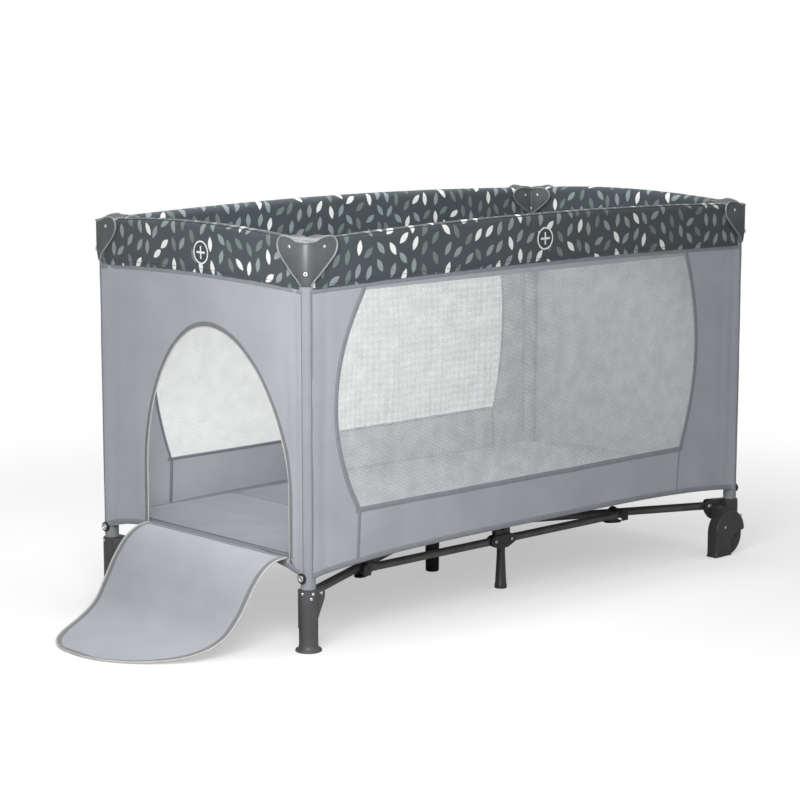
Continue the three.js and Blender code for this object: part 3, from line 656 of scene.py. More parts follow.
def forkCheeks():
    # flaring up from the leg to a wide flat head
    outline = traced((-46, 40), (-30, 40), [(-22, 58), (-4, 66), (6, 84), 10], [(11, 93), (12, 104), (9, 110), 7],
                     (5, 113.6), (-46, 114.6))
    return slab(outline, -fork["half"], fork["half"], 1.6), block((-10.5, -fork["slot"], 86), (20, fork["slot"], 130))


def headRivets(corner):
    # domed rivets: one each side of the fork and a few on the foot's faces
    parts = [placeFork(placed(rivet(4.4, 1.8), (0, side * fork["half"], 100), (-side * quarter, "X")))
             for side in (-1, 1)]
    for at, turn in footRivets[corner in wheeled]:
        parts.append(placed(rivet(3.0, 1.5), at, (math.radians(turn), "Z"), (quarter, "Y")))
    cornerPiece(merged(*parts), corner, "footRivets_{}", "zinc", "leg_{}", "tube")


def buildPlainFoot(corner):
    r, head, bore = fork["radius"], fork["head"], leg["bore"]
    column = turnedPiece([(0, 0), (23.8, 0), (24.5, 0.7), (24.5, 3.4), (23.8, 4.4), (20.4, 5.8), (18.8, 8.2), (r, 13),
                          (r, head - 1.4), (r - 1.4, head), (0, head)], 56)
    cheeks, slot = forkCheeks()
    # widens the foot's head along the long side
    gusset = traced((-4, 52), (11.5, 56), [(15, 68), (24, 84), (29, 97), 10], (30, 108), (28, 114.6), (-4, 115))
    hollow = turnedPiece([(0, 29.7), (bore, 29.7), (bore, head + 20), (0, head + 20)], 56)
    bm = combined(column, placeFork(cheeks), slab(gusset, -13.2, 12, 1.4), operation="UNION")
    bm = combined(bm, hollow, placeFork(slot))
    cornerPiece(bm, corner, "foot_{}_moulding", "footNylon", "leg_{}", "foot_plastic", "foot_{}")
    headRivets(corner)


hood = {"u": 34, "v": -20, "z": 42.5, "wheel": 42, "width": 18, "radius": 46, "top": 52, "skin": 2.5, "play": 2}


def buildWheelFoot(corner):
    h, bore = hood, leg["bore"]
    outer = h["v"] - h["width"] / 2 - h["play"] - h["skin"]
    back = h["v"] + h["width"] / 2 + h["play"]
    inward = h["u"] + h["radius"]
    crown = [(h["u"] + h["radius"] * math.cos(a), h["top"] + h["radius"] * math.sin(a))
             for a in spread(0, math.pi, 44)]
    outline = traced((inward + 2, 0), (inward + 2, 3.4), (inward, 6.5), *crown, [(6, 47.5), (32, 42.5), 8], (28, 0))
    cover = slab(outline, outer, back + h["skin"], 2.2, 4)
    socket = turnedPiece([(0, 66), (17.8, 66), (17.8, 114.6), (16.4, 116), (0, 116)])
    cheeks, slot = forkCheeks()
    web = block((-12, back, 70), (44, 15, 104))
    web = rounded(web, web.edges[:], 3, 3)
    step = slab([(-10, 84), (52, 84), (46, 96), (24, 104), (-10, 106)], -16, 8, 2)
    room, reach = bmesh.new(), h["wheel"] + h["play"]
    bmesh.ops.create_cone(room, cap_ends=True, segments=64, radius1=reach, radius2=reach,
                          depth=back - outer - h["skin"])
    room = placed(room, (h["u"], (outer + h["skin"] + back) / 2, h["z"]), (quarter, "X"))
    mouth = block((h["u"] - h["radius"] - 4, outer + h["skin"], -1), (h["u"] - 2, back, h["z"]))
    hollow = turnedPiece([(0, 98), (bore, 98), (bore, 140), (0, 140)])
    whole = combined(placeFork(cheeks), block((-60, -60, 72), (60, 60, 130)), operation="INTERSECT")
    whole = combined(cover, socket, whole, web, step, operation="UNION")
    whole = combined(whole, room, mouth, hollow, placeFork(slot))
    cornerPiece(whole, corner, "foot_{}_moulding", "hoodNylon", "leg_{}", "foot_plastic", "foot_{}")
    # axle pin with its moulded boss
    boss = turnedPiece([(0, 0), (3.0, 0), (3.4, 0.5), (6.2, 0.5), (7.2, 1.3), (7.2, 4.0), (4, 4.0), (4, 24.6),
                        (0, 24.6)], 32)
    boss = placed(boss, (h["u"], outer - 1.3, h["z"]), (-quarter, "X"))
    cornerPiece(boss, corner, "axle_{}", "hoodNylon", "leg_{}", "foot_plastic")
    headRivets(corner)


tread = {"bumps": 44, "depth": 0.9, "dish": 0.9, "dots": 8, "dotRing": 27, "rimIn": 34.5, "rimOut": 35.4}


def buildWheel(side):
    h, half, r = hood, hood["width"] / 2, hood["wheel"]
    dish = half - tread["dish"]
    face = [(4.3, half), (9.5, half), (10.4, dish), (tread["rimIn"], dish), (tread["rimOut"], half), (r - 2.6, half),
            (r - 0.8, half - 0.9), (r, half - 2.6)]
    bm = turnedPiece([(x, -z) for x, z in face] + face[::-1] + [(4.3, -half)], tread["bumps"] * 2)
    for vert in bm.verts:  # shallow tread blocks
        radius = math.hypot(vert.co.x, vert.co.y)
        if radius > r - 0.5:
            phase = math.cos(math.atan2(vert.co.y, vert.co.x) * tread["bumps"])
            shrink = 1 - tread["depth"] / radius * (phase < 0)
            vert.co.x, vert.co.y = vert.co.x * shrink, vert.co.y * shrink
    parts = [bm]
    for k in range(tread["dots"]):  # moulded pips round the wheel's two faces
        a = 2 * math.pi * (k + 0.3) / tread["dots"]
        for way in (-1, 1):
            at = (tread["dotRing"] * math.cos(a), tread["dotRing"] * math.sin(a), way * dish)
            parts.append(placed(rivet(1.9, 1.1), at, (quarter - way * quarter, "X")))
    bm = placed(merged(*parts), (h["u"], h["v"], h["z"]), (quarter, "X"))
    cornerPiece(bm, f"{side}_right", f"wheel_{side}_tyre", "wheelPlastic", f"wheel_{side}", "wheel_plastic",
                f"wheel_{side}", 30)


cap = {"out": 19.2, "inner": 18.2, "pocket": 15.5, "skin": 756.8, "tip": 674, "lip": 1.8, "innerLip": 1.5,
       "crease": 1.1, "tipRadius": 15.6, "neck": ((674, 9.4), (680, 13), (690, 20.2), (700, 26)),
       "innerReach": 1.48, "innerDrop": 3.5,
       "rivets": ((27.5, 744), (24.6, 744)), "innerRivets": (37, 742), "eye": 697, "innerEye": 711}
neckLine = ((674.5, 9.2), (677, 11), (680, 12.8), (685, 16.4), (688.5, 19))
crownLine = ((754.4, 13), (753.8, 10), (753.4, 6), (753.2, 2.5), (753.2, 0))


def capOutline(steps=9):
    return traced((-2, 700), (9, 688), [(21, 700), (38, 714), (49, 726), steps], [(59.5, 739), (57, 750), steps],
                  [(53, 762), (40, 762.5), steps], [(25, 762.5), (16, 759), (11, 756), steps],
                  [(5, 753.4), (-2, 752.8), steps])


def capSurface(z, w):
    # the cap's outside at a distance w off the corner's diagonal: a round corner between two flat arms
    r = cap["out"] - (cap["out"] - cap["tipRadius"]) * ease((696 - z) / 22)
    d = r * math.sqrt(2) - abs(w) if abs(w) > r / math.sqrt(2) else math.sqrt(r * r - w * w)
    return Vector(((w - d) / math.sqrt(2), (-w - d) / math.sqrt(2), z))


def innerLobe(steps=9):
    # the cap's inside lobe: the outside one drawn out along the rail and a little lower
    reach = cap["inner"]
    return [Vector((reach + (p.x - reach) * cap["innerReach"] if p.x > reach else p.x,
                    p.y - cap["innerDrop"] * ease((p.y - 735) / 15))) for p in capOutline(steps) if p.x > 8.9]


def lipAlong(line, ups, radius, ring=10):
    return swept(stationsAlong(line, ups), lambda k: roundSection(radius, radius, ring), ring)


def buildCap(corner):
    c, bore, flips = cap, leg["bore"], (False, True)
    middle, radius = (c["inner"] - c["out"]) / 2, (c["inner"] + c["out"]) / 2
    outward = Vector((-1, -1, 0)).normalized()
    column = turnedPiece([(0, c["tip"]), (c["tipRadius"] - 0.8, c["tip"]), (c["tipRadius"], c["tip"] + 1),
                          (radius - 1.6, c["tip"] + 11), (radius, c["tip"] + 22), (radius, 748.5),
                          (radius - 0.9, 751.4), (radius - 3.2, 753.2), (radius - 8, 753.4), (0, 752.2)], 64)
    # the neck narrows to the leg like the point of a heart
    wedges = []
    for way in (-1, 1):
        outline = [(way * w, z) for z, w in c["neck"]] + [(way * 60, 700), (way * 60, 660), (way * 9, 660)]
        wedges.append(placed(slab(outline, -60, 60), (0, 0, 0), (-quarter / 2, "Z")))
    arms = [swapped(slab(capOutline(), -c["out"], c["inner"], 1.3), flip) for flip in flips]
    pockets = [swapped(block((16, -c["pocket"], 640), (80, c["pocket"], c["skin"])), flip) for flip in flips]
    lobes = [swapped(slab(innerLobe(), c["pocket"] + 0.1, c["inner"] + 0.2, 0.6, 2), flip) for flip in flips]
    hollow = turnedPiece([(0, 640), (bore, 640), (bore, 735.3), (0, 735.3)])
    bm = combined(*arms, placed(column, (middle, middle, 0)), operation="UNION")
    bm = combined(combined(bm, *pockets, hollow, *wedges), *lobes, operation="UNION")
    cornerPiece(bm, corner, "cap_{}_moulding", "capPlastic", "leg_{}", "cap_plastic", "cap_{}", 42)

    # rolled lip along each lobe's outer edge, from the neck's point over the top to the middle; the lips and the
    # crease rib are real mouldings, drawn lighter than the cap as a painted highlight
    neck, crown = [[capSurface(*at) for at in line] for line in (neckLine, crownLine)]
    lobe = [Vector((p.x, -c["out"], p.y)) for p in capOutline(14)[3:-6]]
    ups = [outward] * len(neck) + [Vector((0, -1, 0))] * len(lobe) + [outward] * len(crown)
    edge = [Vector((p.x, c["inner"], p.y)) for p in innerLobe(14) if p.x > c["inner"] + 1]
    lips = []
    for flip in flips:
        lips.append(swapped(lipAlong(neck + lobe + crown, ups, c["lip"]), flip))
        lips.append(swapped(lipAlong(edge, Vector((0, 1, 0)), c["innerLip"]), flip))
    crease = [Vector((c["inner"], c["inner"], z)) for z in (702, 715, 730, 744, 751)]
    lips.append(lipAlong(crease, -outward, c["crease"], 8))
    cornerPiece(merged(*lips), corner, "capLips_{}", "capHighlight", "leg_{}", "cap_plastic")

    heads, (along, z) = [], c["innerRivets"]
    for (x, height), flip in zip(c["rivets"], flips):
        heads.append(swapped(placed(rivet(3.5, 2.0), (x, -c["out"], height), (quarter, "X")), flip))
        heads.append(swapped(placed(rivet(3.2, 2.0), (along, c["inner"] + 0.2, z), (-quarter, "X")), flip))
    eye = turnedPiece([(1.7, 1.2), (2.1, 2.0), (3.4, 2.0), (4.0, 1.2), (4.0, -1.0), (1.7, -1.0), (1.7, 1.2)], 24)
    heads.append(placed(eye, capSurface(c["eye"], 0), (quarter / 2, "Z"), (-quarter, "Y")))
    low = (c["inner"], c["inner"], c["innerEye"])
    heads.append(placed(rivet(3.2, 2.0), low, (quarter / 2, "Z"), (quarter, "Y")))
    cornerPiece(merged(*heads), corner, "capRivets_{}", "zinc", "leg_{}", "tube")


for corner in corners:
    buildLeg(corner)
    buildCap(corner)
    (buildWheelFoot if corner in wheeled else buildPlainFoot)(corner)
for side in ("front", "back"):
    buildWheel(side)
print("stage: corners")

# hinged tubes: round steel tube flattened and rounded at its pins
tubes = {"rail": 9.0, "diagonal": 8.5, "sideBar": 8.0, "end": 8.5, "tongue": 3.0, "flatTo": 9.0, "roundFrom": 24.0,
         "ring": 28, "railZ": 745, "railIn": 30}


def hingedTube(length, radius, height):
    t = tubes
    end = min(t["end"], radius - 0.3)
    marks = [end * (1 - math.cos(a * math.pi / 12)) - end for a in range(1, 7)]
    marks += [3, 6, t["flatTo"], 12, 14.5, 17, 19.5, 22, t["roundFrom"], 40]
    marks += [length / 2] + [length - m for m in reversed(marks)]

    def section(k):
        reach = min(marks[k], length - marks[k])
        if reach < 0:
            return roundSection(math.sqrt(max(0.01, end ** 2 - reach ** 2)), t["tongue"], t["ring"], 6)
        blend = ease((reach - t["flatTo"]) / (t["roundFrom"] - t["flatTo"]))
        return roundSection(end + (radius - end) * blend, t["tongue"] + (radius - t["tongue"]) * blend, t["ring"],
                            6 - 4 * blend)

    return swept([(Vector((m, 0, height)), Vector((0, 0, 1)), Vector((0, 1, 0))) for m in marks], section, t["ring"])


def buildTubes(corner):
    t, z, reach = tubes, base["z"], base["collarShare"] * base["spanX"]
    bar = (cot["legX"] * 1000 - (base["hubX"] + reach), cot["legY"] * 1000 - base["barY"], 0)
    longRail, shortRail = [hingedTube(base[span], t["rail"], t["railZ"]) for span in ("spanX", "spanY")]
    for name, tube, body in (
            ("longRailTube_{}", placed(longRail, (t["railIn"], 0, 0)), "long_rail_{}"),
            ("shortRailTube_{}", placed(shortRail, (0, t["railIn"], 0), (quarter, "Z")), "short_rail_{}"),
            ("diagonalTube_{}", placeFork(hingedTube(base["length"], t["diagonal"], z)), "diagonal_{}"),
            ("sideBarTube_{}", placed(hingedTube(reach, t["sideBar"], z), bar), "side_bar_{}")):
        cornerPiece(tube, corner, name, "steel", body, "tube", body)


# an oval-flanged nylon block under the collar's pin: half sizes, and levels of (height, share of a half size)
shoe = {"ahead": 5, "power": 2.4, "ring": 36, "flange": (20, 12.5), "neck": (12, 9.5),
        "levels": ((79.5, 0.93, "flange"), (80.3, 1, "flange"), (82.1, 1, "flange"), (83.1, 0.93, "flange"),
                   (84.1, 1.05, "neck"), (90.5, 0.9, "neck"))}


def buildShoe(corner):
    s, levels = shoe, shoe["levels"]
    stations = [(Vector((0, 0, z)), Vector((1, 0, 0)), Vector((0, 1, 0))) for z, _, _ in levels]

    def section(k):
        _, share, part = levels[k]
        return roundSection(*[size * share for size in s[part]], s["ring"], s["power"])

    bm = swept(stations, section, s["ring"])
    bm = placeFork(placed(bm, (base["length"] * (1 - base["collarShare"]) + s["ahead"], 0, 0)))
    cornerPiece(bm, corner, "collarShoe_{}", "blackNylon", "collar_{}", "black_plastic")


jointPins = {"radius": 3.8, "height": 1.8, "face": 9.6}


def buildJointRivets(side):
    # zinc heads on both ends of a side joint's two pins
    p = jointPins
    heads = [placed(rivet(p["radius"], p["height"]), (x, face * p["face"], base["z"]), (-face * quarter, "X"))
             for x in (-base["hubX"], base["hubX"]) for face in (-1, 1)]
    bm = merged(*heads)
    bmesh.ops.scale(bm, vec=(0.001,) * 3, verts=bm.verts)
    bm = placed(bm, (0, sides[side]["way"] * base["barY"] / 1000, 0))
    finishPiece(bm, f"sideJointRivets_{side}", "zinc", f"side_joint_{side}", "tube")


for corner in corners:
    buildTubes(corner)
    mouldedCopy(f"collar_{corner}", f"collar_{corner}_moulding", "hoodNylon", "foot_plastic")
    buildShoe(corner)
for side in ("front", "back"):
    mouldedCopy(f"side_joint_{side}", f"sideJoint_{side}_moulding", "hoodNylon", "foot_plastic")
    buildJointRivets(side)
mouldedCopy("hub", "hub_moulding", "blackNylon", "black_plastic")
for side in sides:
    mouldedCopy(f"rail_lock_{side}", f"railLock_{side}_moulding", "blackNylon", "black_plastic")
    mouldedCopy(f"lock_button_{side}", f"lockButton_{side}_moulding", "blackNylon", "black_plastic", 0.0012)
print("stage: frame tubes and joints")


# cloth helpers
def ripple(seed, s, z, pitchS=9.0, pitchZ=3.0):
    return noise.noise(Vector((s * pitchS + seed, z * pitchZ, seed * 0.37)))


def flatSize(piece):
    # width, length and area of the cut cloth, from the UV map that holds its metres
    layer = piece.data.uv_layers.active.data
    xs, ys = [loop.uv.x for loop in layer], [loop.uv.y for loop in layer]
    area = 0.0
    for face in piece.data.polygons:
        ring = [layer[i].uv for i in face.loop_indices]
        area += abs(sum(a.x * b.y - b.x * a.y for a, b in zip(ring, ring[1:] + ring[:1]))) / 2
    return max(xs) - min(xs), max(ys) - min(ys), area


def clothPiece(bm, name, material, body, slot, replaces=(), thick=cot["clothThick"],
               side=None):
    # a sheet of cloth with its thickness
    made = finishPiece(bm, name, material, body, slot, replaces, sharp=180)
    wide, tall, area = flatSize(made)
    shell = made.modifiers.new("thickness", "SOLIDIFY")
    shell.thickness, shell.offset = thick, 0
    min(area, wide * tall)
    return foldWith(made) if side else made


def trimPiece(bm, name, material, body, slot, side=None):
    made = finishPiece(outwardFaces(bm), name, material, body, slot, sharp=60)
    return foldWith(made) if side else made


def ribbonOn(bm, points, outward, width, thick=0.0011, lift=0.0007, ring=8, closed=False):
    # a flat sewn tape laid along a line on cloth
    ups = outward if isinstance(outward, list) else [outward] * len(points)
    stations = stationsAlong([p + up * lift for p, up in zip(points, ups)], ups)
    if closed:
        stations[0] = stations[-1]
    sweep(bm, stations, lambda k: roundSection(width / 2, thick / 2, ring, 3.2), ring, closed)


def cordOn(bm, points, outward, radius, lift=0.0, ring=10):
    ribbonOn(bm, points, outward, radius * 2, radius * 2, lift, ring)


# the four walls; the window's two edges each go through a low, a middle and a high place
# legSeam is the width of the dark strips that paint the shade of the grooves by the legs
wallCut = {"front": {"left": (-0.486, -0.597, -0.470), "right": (0.415, 0.502, 0.424), "hem": (-0.491, 0.407)},
           "back": {"left": (-0.491, -0.548, -0.500), "right": (0.441, 0.514, 0.462), "hem": (-0.497, 0.446)},
           "low": 0.255, "high": 0.6575, "hemTape": 0.0115, "topTape": 0.0066, "topIn": 0.0040, "tuck": 0.0024,
           "legSeam": 0.0026, "overlap": 0.002, "netThick": 0.0006}
# binding over a window's seams outside, 1, and the narrower facings inside, -1: widths round the window and down
# to the hem, (thickness, lift) of each, and where the one down to the hem starts under the sill and ends
seamTapes = {
    1: {"wide": 0.0105, "hemWide": {"left": 0.0080, "right": 0.0042}, "shape": (0.0011, 0.0007),
        "hemShape": (0.0009, 0.0007), "from": 0.004, "to": 0.002, "shift": 0.3, "steps": 48},
    -1: {"wide": 0.0062, "hemWide": {"left": 0.00775, "right": 0.00775}, "shape": (0.0011, 0.0008),
         "hemShape": (0.0013, 0.0008), "from": 0.002, "to": 0.004, "shift": 0, "steps": 40}}
tensionFolds = {"ripple": 0.0021, "fold": 0.0010, "gather": 0.0008}
edges = {"left": -1, "right": 1}


def wallHalf(side):
    return cot["wallX" if sides[side]["long"] else "wallY"]


def hemAt(side, s):
    rise = cot["hemRiseLong" if sides[side]["long"] else "hemRiseShort"]
    return cot["hemLow"] + rise * (1 - min(1, abs(s / wallHalf(side))) ** 4)


def wallTopAt(side, s):
    return cot["bandLow"] - 0.0004 + cot["bandRise"] * (1 - (s / wallHalf(side)) ** 2)


def onWall(side, s, z):
    # the cloth stands a little outward of the leg axes: taut at the legs, hem and band, slack between
    seed, folds, edge = sides[side]["wallSeed"], tensionFolds, wallHalf(side) - abs(s)
    held = ease(edge / 0.05) * ease((0.67 - z) / 0.07) * (0.25 + 0.75 * ease((z - 0.14) / 0.06))
    soft = ripple(seed, s, z) * folds["ripple"] + ripple(seed + 3, s, z, 26, 2.2) * folds["fold"]
    gathered = folds["gather"] * math.sin(s * 190 + 2 * ripple(seed + 5, s, z, 4, 3))
    gathered *= ease(edge / 0.012) * ease((0.09 - edge) / 0.07)
    wrap = wallCut["tuck"] * ease((0.027 - edge) / 0.022) - 0.0005 * ease((0.004 - edge) / 0.004)
    return placeOn(side, s, cot["wallMid"] + held * soft + gathered + wrap, z)


def outwardOf(side):
    return placeOn(side, 0, 1, 0) - placeOn(side, 0, 0, 0)


def windowEdge(side, edge, z):
    low, belly, high = wallCut[side][edge]
    t = max(0.0, min(1.0, (z - wallCut["low"]) / (wallCut["high"] - wallCut["low"])))
    return low * (1 - t) ** 2 + 2 * belly * t * (1 - t) + high * t * t


def seamAt(side, edge, z):
    # side seam: the window's edge, carried down to the hem and up to the band
    low = wallCut["low"]
    share = max(0.0, (low - z) / (low - cot["hemLow"]))
    return windowEdge(side, edge, z) * (1 - share) + wallCut[side]["hem"][edge == "right"] * share


def patch(bm, side, *lines, cells):
    # a cloth panel between a left, right, lower and upper line, each a function or a constant
    left, right, low, high = [line if callable(line) else lambda _, fixed=line: fixed for line in lines]

    def where(u, v):
        z = low(0) * (1 - v) + high(0) * v
        for _ in range(3):
            s = left(z) * (1 - u) + right(z) * u
            z = low(s) * (1 - v) + high(s) * v
        return s, z

    gridOf(bm, *cells, lambda u, v: onWall(side, *where(u, v)), where)


def legSeamShade(bm, side):
    # the seams where the wall meets the sleeves, as dark strips: their dark colour is painted shade of the grooves
    # there
    half = wallHalf(side) - 0.0012
    for s in (-half, half):
        heights = spread(hemAt(side, s) + 0.002, wallTopAt(side, s) - 0.001, 30)
        ribbonOn(bm, [onWall(side, s, z) for z in heights], outwardOf(side), wallCut["legSeam"], 0.0012, 0.0006)


def edgeTapes(bm, side, steps):
    # along the hem and just under the band
    wide, top, out = wallCut["hemTape"], wallCut["topTape"], outwardOf(side)
    span = spread(-wallHalf(side), wallHalf(side), steps)
    ribbonOn(bm, [onWall(side, s, hemAt(side, s) + wide / 2 - 0.001) for s in span], out, wide, 0.0022, 0.0002)
    ribbonOn(bm, [onWall(side, s, wallTopAt(side, s) - wallCut["topIn"]) for s in span], out, top, 0.0012)


def windowTapes(bm, side, way):
    low, out, t, sill = wallCut["low"], outwardOf(side) * way, seamTapes[way], seamTapes[1]["wide"]
    wide, top = t["wide"], wallTopAt(side, 0.45) - 0.003 if way > 0 else wallCut["high"]
    for edge, sign in edges.items():
        inset, hem = wide / 2 * sign, hemAt(side, seamAt(side, edge, cot["hemLow"])) + t["to"]
        line = [onWall(side, windowEdge(side, edge, z) + inset, z) for z in spread(low - 0.004, top, t["steps"])]
        ribbonOn(bm, line, out, wide, *t["shape"])
        line = [onWall(side, seamAt(side, edge, z) + inset * t["shift"], z) for z in spread(low - t["from"], hem, 14)]
        ribbonOn(bm, line, out, t["hemWide"][edge], *t["hemShape"])
    span = spread(windowEdge(side, "left", low) - sill, windowEdge(side, "right", low) + sill, 60)
    ribbonOn(bm, [onWall(side, s, low - wide / 2) for s in span], out, wide, *t["shape"])


def wallPiece(bm, side, withPieces):
    clothPiece(bm, f"wallCloth_{side}", "wallCloth", sides[side]["body"], "grey_fabric",
               [f"wall_{side}"],
               side=side)


def wallTrim(bm, name, material, side):
    return trimPiece(bm, name, material, sides[side]["body"], "grey_fabric", side)


def buildLongWall(side):
    half, low, high, over = wallHalf(side), wallCut["low"], wallCut["high"], wallCut["overlap"]
    hem, top = (lambda s: hemAt(side, s)), (lambda s: wallTopAt(side, s))
    leftSeam, rightSeam = (lambda z: seamAt(side, "left", z)), (lambda z: seamAt(side, "right", z))
    bm = bmesh.new()
    patch(bm, side, -half, leftSeam, hem, top, cells=(12, 56))
    patch(bm, side, rightSeam, half, hem, top, cells=(18, 56))
    patch(bm, side, leftSeam, rightSeam, hem, low, cells=(90, 12))
    patch(bm, side, leftSeam, rightSeam, high, top, cells=(90, 2))
    bmesh.ops.remove_doubles(bm, verts=bm.verts, dist=1e-5)

    tapes, facings = bmesh.new(), bmesh.new()
    windowTapes(tapes, side, 1)
    windowTapes(facings, side, -1)
    edgeTapes(tapes, side, 80)
    tape = wallTrim(tapes, f"wallTapes_{side}", "tape", side)
    # the facings piece also carries the dark strips of painted groove shade by the legs
    legSeamShade(facings, side)
    facing = wallTrim(facings, f"wallFacings_{side}", "darkTape", side)
    wallPiece(bm, side, [tape, facing])

    bm = bmesh.new()
    patch(bm, side, lambda z: windowEdge(side, "left", z) - over, lambda z: windowEdge(side, "right", z) + over,
          low - over, high + over, cells=(72, 32))
    clothPiece(bm, f"window_{side}", "net", sides[side]["body"], "mesh_fabric",
               [f"mesh_{side}"], thick=wallCut["netThick"], side=side)


sleeve = {"low": 0.1168, "top": 0.6729, "radius": 0.0134, "thick": 0.0009}


def buildSleeve(corner):
    # the cloth sleeve sewn round a leg, a little loose; its cloth is drawn darker than the walls' cloth, as painted
    # shade
    x, y = corners[corner]
    low, tall, r = sleeve["low"], sleeve["top"] - sleeve["low"], sleeve["radius"]
    seed = 2.0 + 3 * x + y

    def point(u, v):
        turn, z = 2 * math.pi * u, low + tall * v
        pull = 0.0003 * math.sin(3 * turn + 5 * ripple(seed, math.cos(turn) * 0.05, z, 9, 8)) * ease((z - low) / 0.03)
        radius = r + pull + 0.0002 * ripple(seed, u, z, 6, 30)
        return Vector((x * cot["legX"] + radius * math.cos(turn), y * cot["legY"] + radius * math.sin(turn), z))

    bm = bmesh.new()
    made = gridOf(bm, 36, 70, point, lambda u, v: (u * 2 * math.pi * r, v * tall))
    bmesh.ops.remove_doubles(bm, verts=made, dist=1e-6)
    clothPiece(outwardFaces(bm), f"legSleeve_{corner}", "sleeveClothShaded", f"leg_{corner}", "grey_fabric",
               thick=sleeve["thick"])


arch = {"right": 0.2645, "left": -0.1635, "apex": 0.034, "sill": 0.170, "shoulder": 0.280, "pull": 0.425,
        "spread": 0.118, "top": 0.574, "legShare": 0.36, "zipOut": 0.0058, "zip": 0.0095,
        "pipe": 0.0012, "pipeOut": 0.0006}


def archLine(steps, grow=0.0):
    # the doorway from its right foot over the top to its left foot, as (along, z); grow widens it
    a = arch
    right, left, top = a["right"] + grow, a["left"] - grow, a["top"] + grow
    path = traced((right, a["sill"]), (right, a["shoulder"]),
                  [(right, a["pull"]), (a["apex"] + a["spread"], top), (a["apex"], top), 40],
                  [(a["apex"] - a["spread"], top), (left, a["pull"]), (left, a["shoulder"]), 40], (left, a["sill"]))
    lengths = lengthsAlong(path)
    return [pointAt(path, lengths, want)[0] for want in spread(0, lengths[-1], steps)]


def buildDoorWall():
    side, half, steps, share = "door", wallHalf("door"), 96, arch["legShare"]
    inner, low, top = archLine(steps), hemAt(side, half), wallTopAt(side, half)

    def outer(t):
        # from the right foot up the leg, along the band and down the other leg
        if share < t < 1 - share:
            s = half - 2 * half * (t - share) / (1 - 2 * share)
            return s, wallTopAt(side, s)
        return (half if t < 0.5 else -half), low + (top - low) * min(t, 1 - t) / share

    def where(u, v):
        a, b = inner[round(u * steps)], outer(u)
        return a.x + (b[0] - a.x) * v, a.y + (b[1] - a.y) * v

    bm = bmesh.new()
    gridOf(bm, steps, 14, lambda u, v: onWall(side, *where(u, v)), where)
    patch(bm, side, arch["left"], arch["right"], lambda s: hemAt(side, s), arch["sill"] - 0.0006, cells=(40, 2))
    outwardFaces(bm)

    zipTape, tapes, piping, out = bmesh.new(), bmesh.new(), bmesh.new(), outwardOf(side)
    ribbonOn(zipTape, [onWall(side, *p) for p in archLine(120, arch["zipOut"])], out, arch["zip"])
    # the zip tape piece also carries the dark strips of painted groove shade by the legs
    legSeamShade(zipTape, side)
    edgeTapes(tapes, side, 60)
    cordOn(piping, [onWall(side, *p) for p in archLine(140, arch["pipeOut"])], out, arch["pipe"], arch["pipeOut"])
    wallPiece(bm, side, [wallTrim(zipTape, "doorZipTape", "darkTape", side),
                         wallTrim(tapes, "wallTapes_door", "tape", side),
                         wallTrim(piping, "doorPiping", "piping", side)])


def buildWheelWall():
    side, half = "wheel", wallHalf("wheel")
    bm, tapes, seams = bmesh.new(), bmesh.new(), bmesh.new()
    patch(bm, side, -half, half, lambda s: hemAt(side, s), lambda s: wallTopAt(side, s), cells=(60, 50))
    edgeTapes(tapes, side, 60)
    # dark strips of painted groove shade by the legs
    legSeamShade(seams, side)
    wallPiece(bm, side, [wallTrim(tapes, "wallTapes_wheel", "tape", side),
                         wallTrim(seams, "wallFacings_wheel", "darkTape", side)])


for side in ("front", "back"):
    buildLongWall(side)
buildDoorWall()
buildWheelWall()
for corner in corners:
    buildSleeve(corner)
print("stage: walls")

# the printed band folded over each rail, with a woven mark over each release button
band = {"mid": 0.01262, "corner": 0.0105, "top": 0.7562, "bow": 0.0138, "endTop": 0.7470, "endGap": 0.0035,
        "thick": 0.0017, "bulge": 0.0016, "around": 34, "badge": 0.0222, "badgeLine": 0.0031, "plus": 0.0122,
        "plusLine": 0.0040, "weave": 0.0007,
        "badgeAt": {"front": (0.0, 0.721), "back": (0.0, 0.721), "door": (0.018, 0.714), "wheel": (0.0, 0.714)}}


def bandHalf(side):
    return cot["legX" if sides[side]["long"] else "legY"] - band["endGap"]


def bandProfile(side, s):
    # low edge, top and length over the fold of the band at a place along the rail
    share = 1 - min(1, abs(s / bandHalf(side))) ** 2
    low, top = cot["bandLow"] + cot["bandRise"] * share, band["top"] + band["bow"] * share
    near = ease((bandHalf(side) - abs(s)) / 0.045)
    top = top * near + min(top, band["endTop"]) * (1 - near)
    return low, top, 2 * (top - low - band["corner"]) + math.pi * band["corner"] + 2 * (band["mid"] - band["corner"])


def bandPoint(side, s, t):
    # outward and up; t runs from the outer low edge over the top to the inner low edge
    low, top, total = bandProfile(side, s)
    w, r, seed, edge = band["mid"], band["corner"], sides[side]["bandSeed"], bandHalf(side) - abs(s)
    straight, turn, sign = top - r - low, quarter * r, 1 if t <= 0.5 else -1
    d = min(t, 1 - t) * total
    a = max(0, (d - straight) / r)
    if a < quarter:
        o, z, nx, nz = w - r + r * math.cos(a), low + min(d, straight) + r * math.sin(a), math.cos(a), math.sin(a)
    else:
        o, z, nx, nz = w - r - (d - straight - turn), top, 0, 1
    h, free = min(1, d / (straight + turn)), ease(edge / 0.06)
    swell = band["bulge"] * math.sin(math.pi * min(1, h * 1.02)) * free
    soft = 0.0011 * ripple(seed + sign, s, z, 11, 9) * free * (0.35 + 0.65 * h)
    pucker = 0.0008 * math.sin(s * 330 + 3 * ripple(seed, s, z, 12, 20))
    pucker *= ease(edge / 0.012) * ease((0.11 - edge) / 0.08)
    push = max(-0.0002, swell + soft + pucker) * (0.25 if nz > 0.9 else 1)
    z += 0.0007 * ripple(seed + 2, s, 0, 22, 1) * (1 - h) * free
    return (o + nx * push) * sign, z + nz * push


def onBand(side, s, t):
    return placeOn(side, s, *bandPoint(side, s, t))


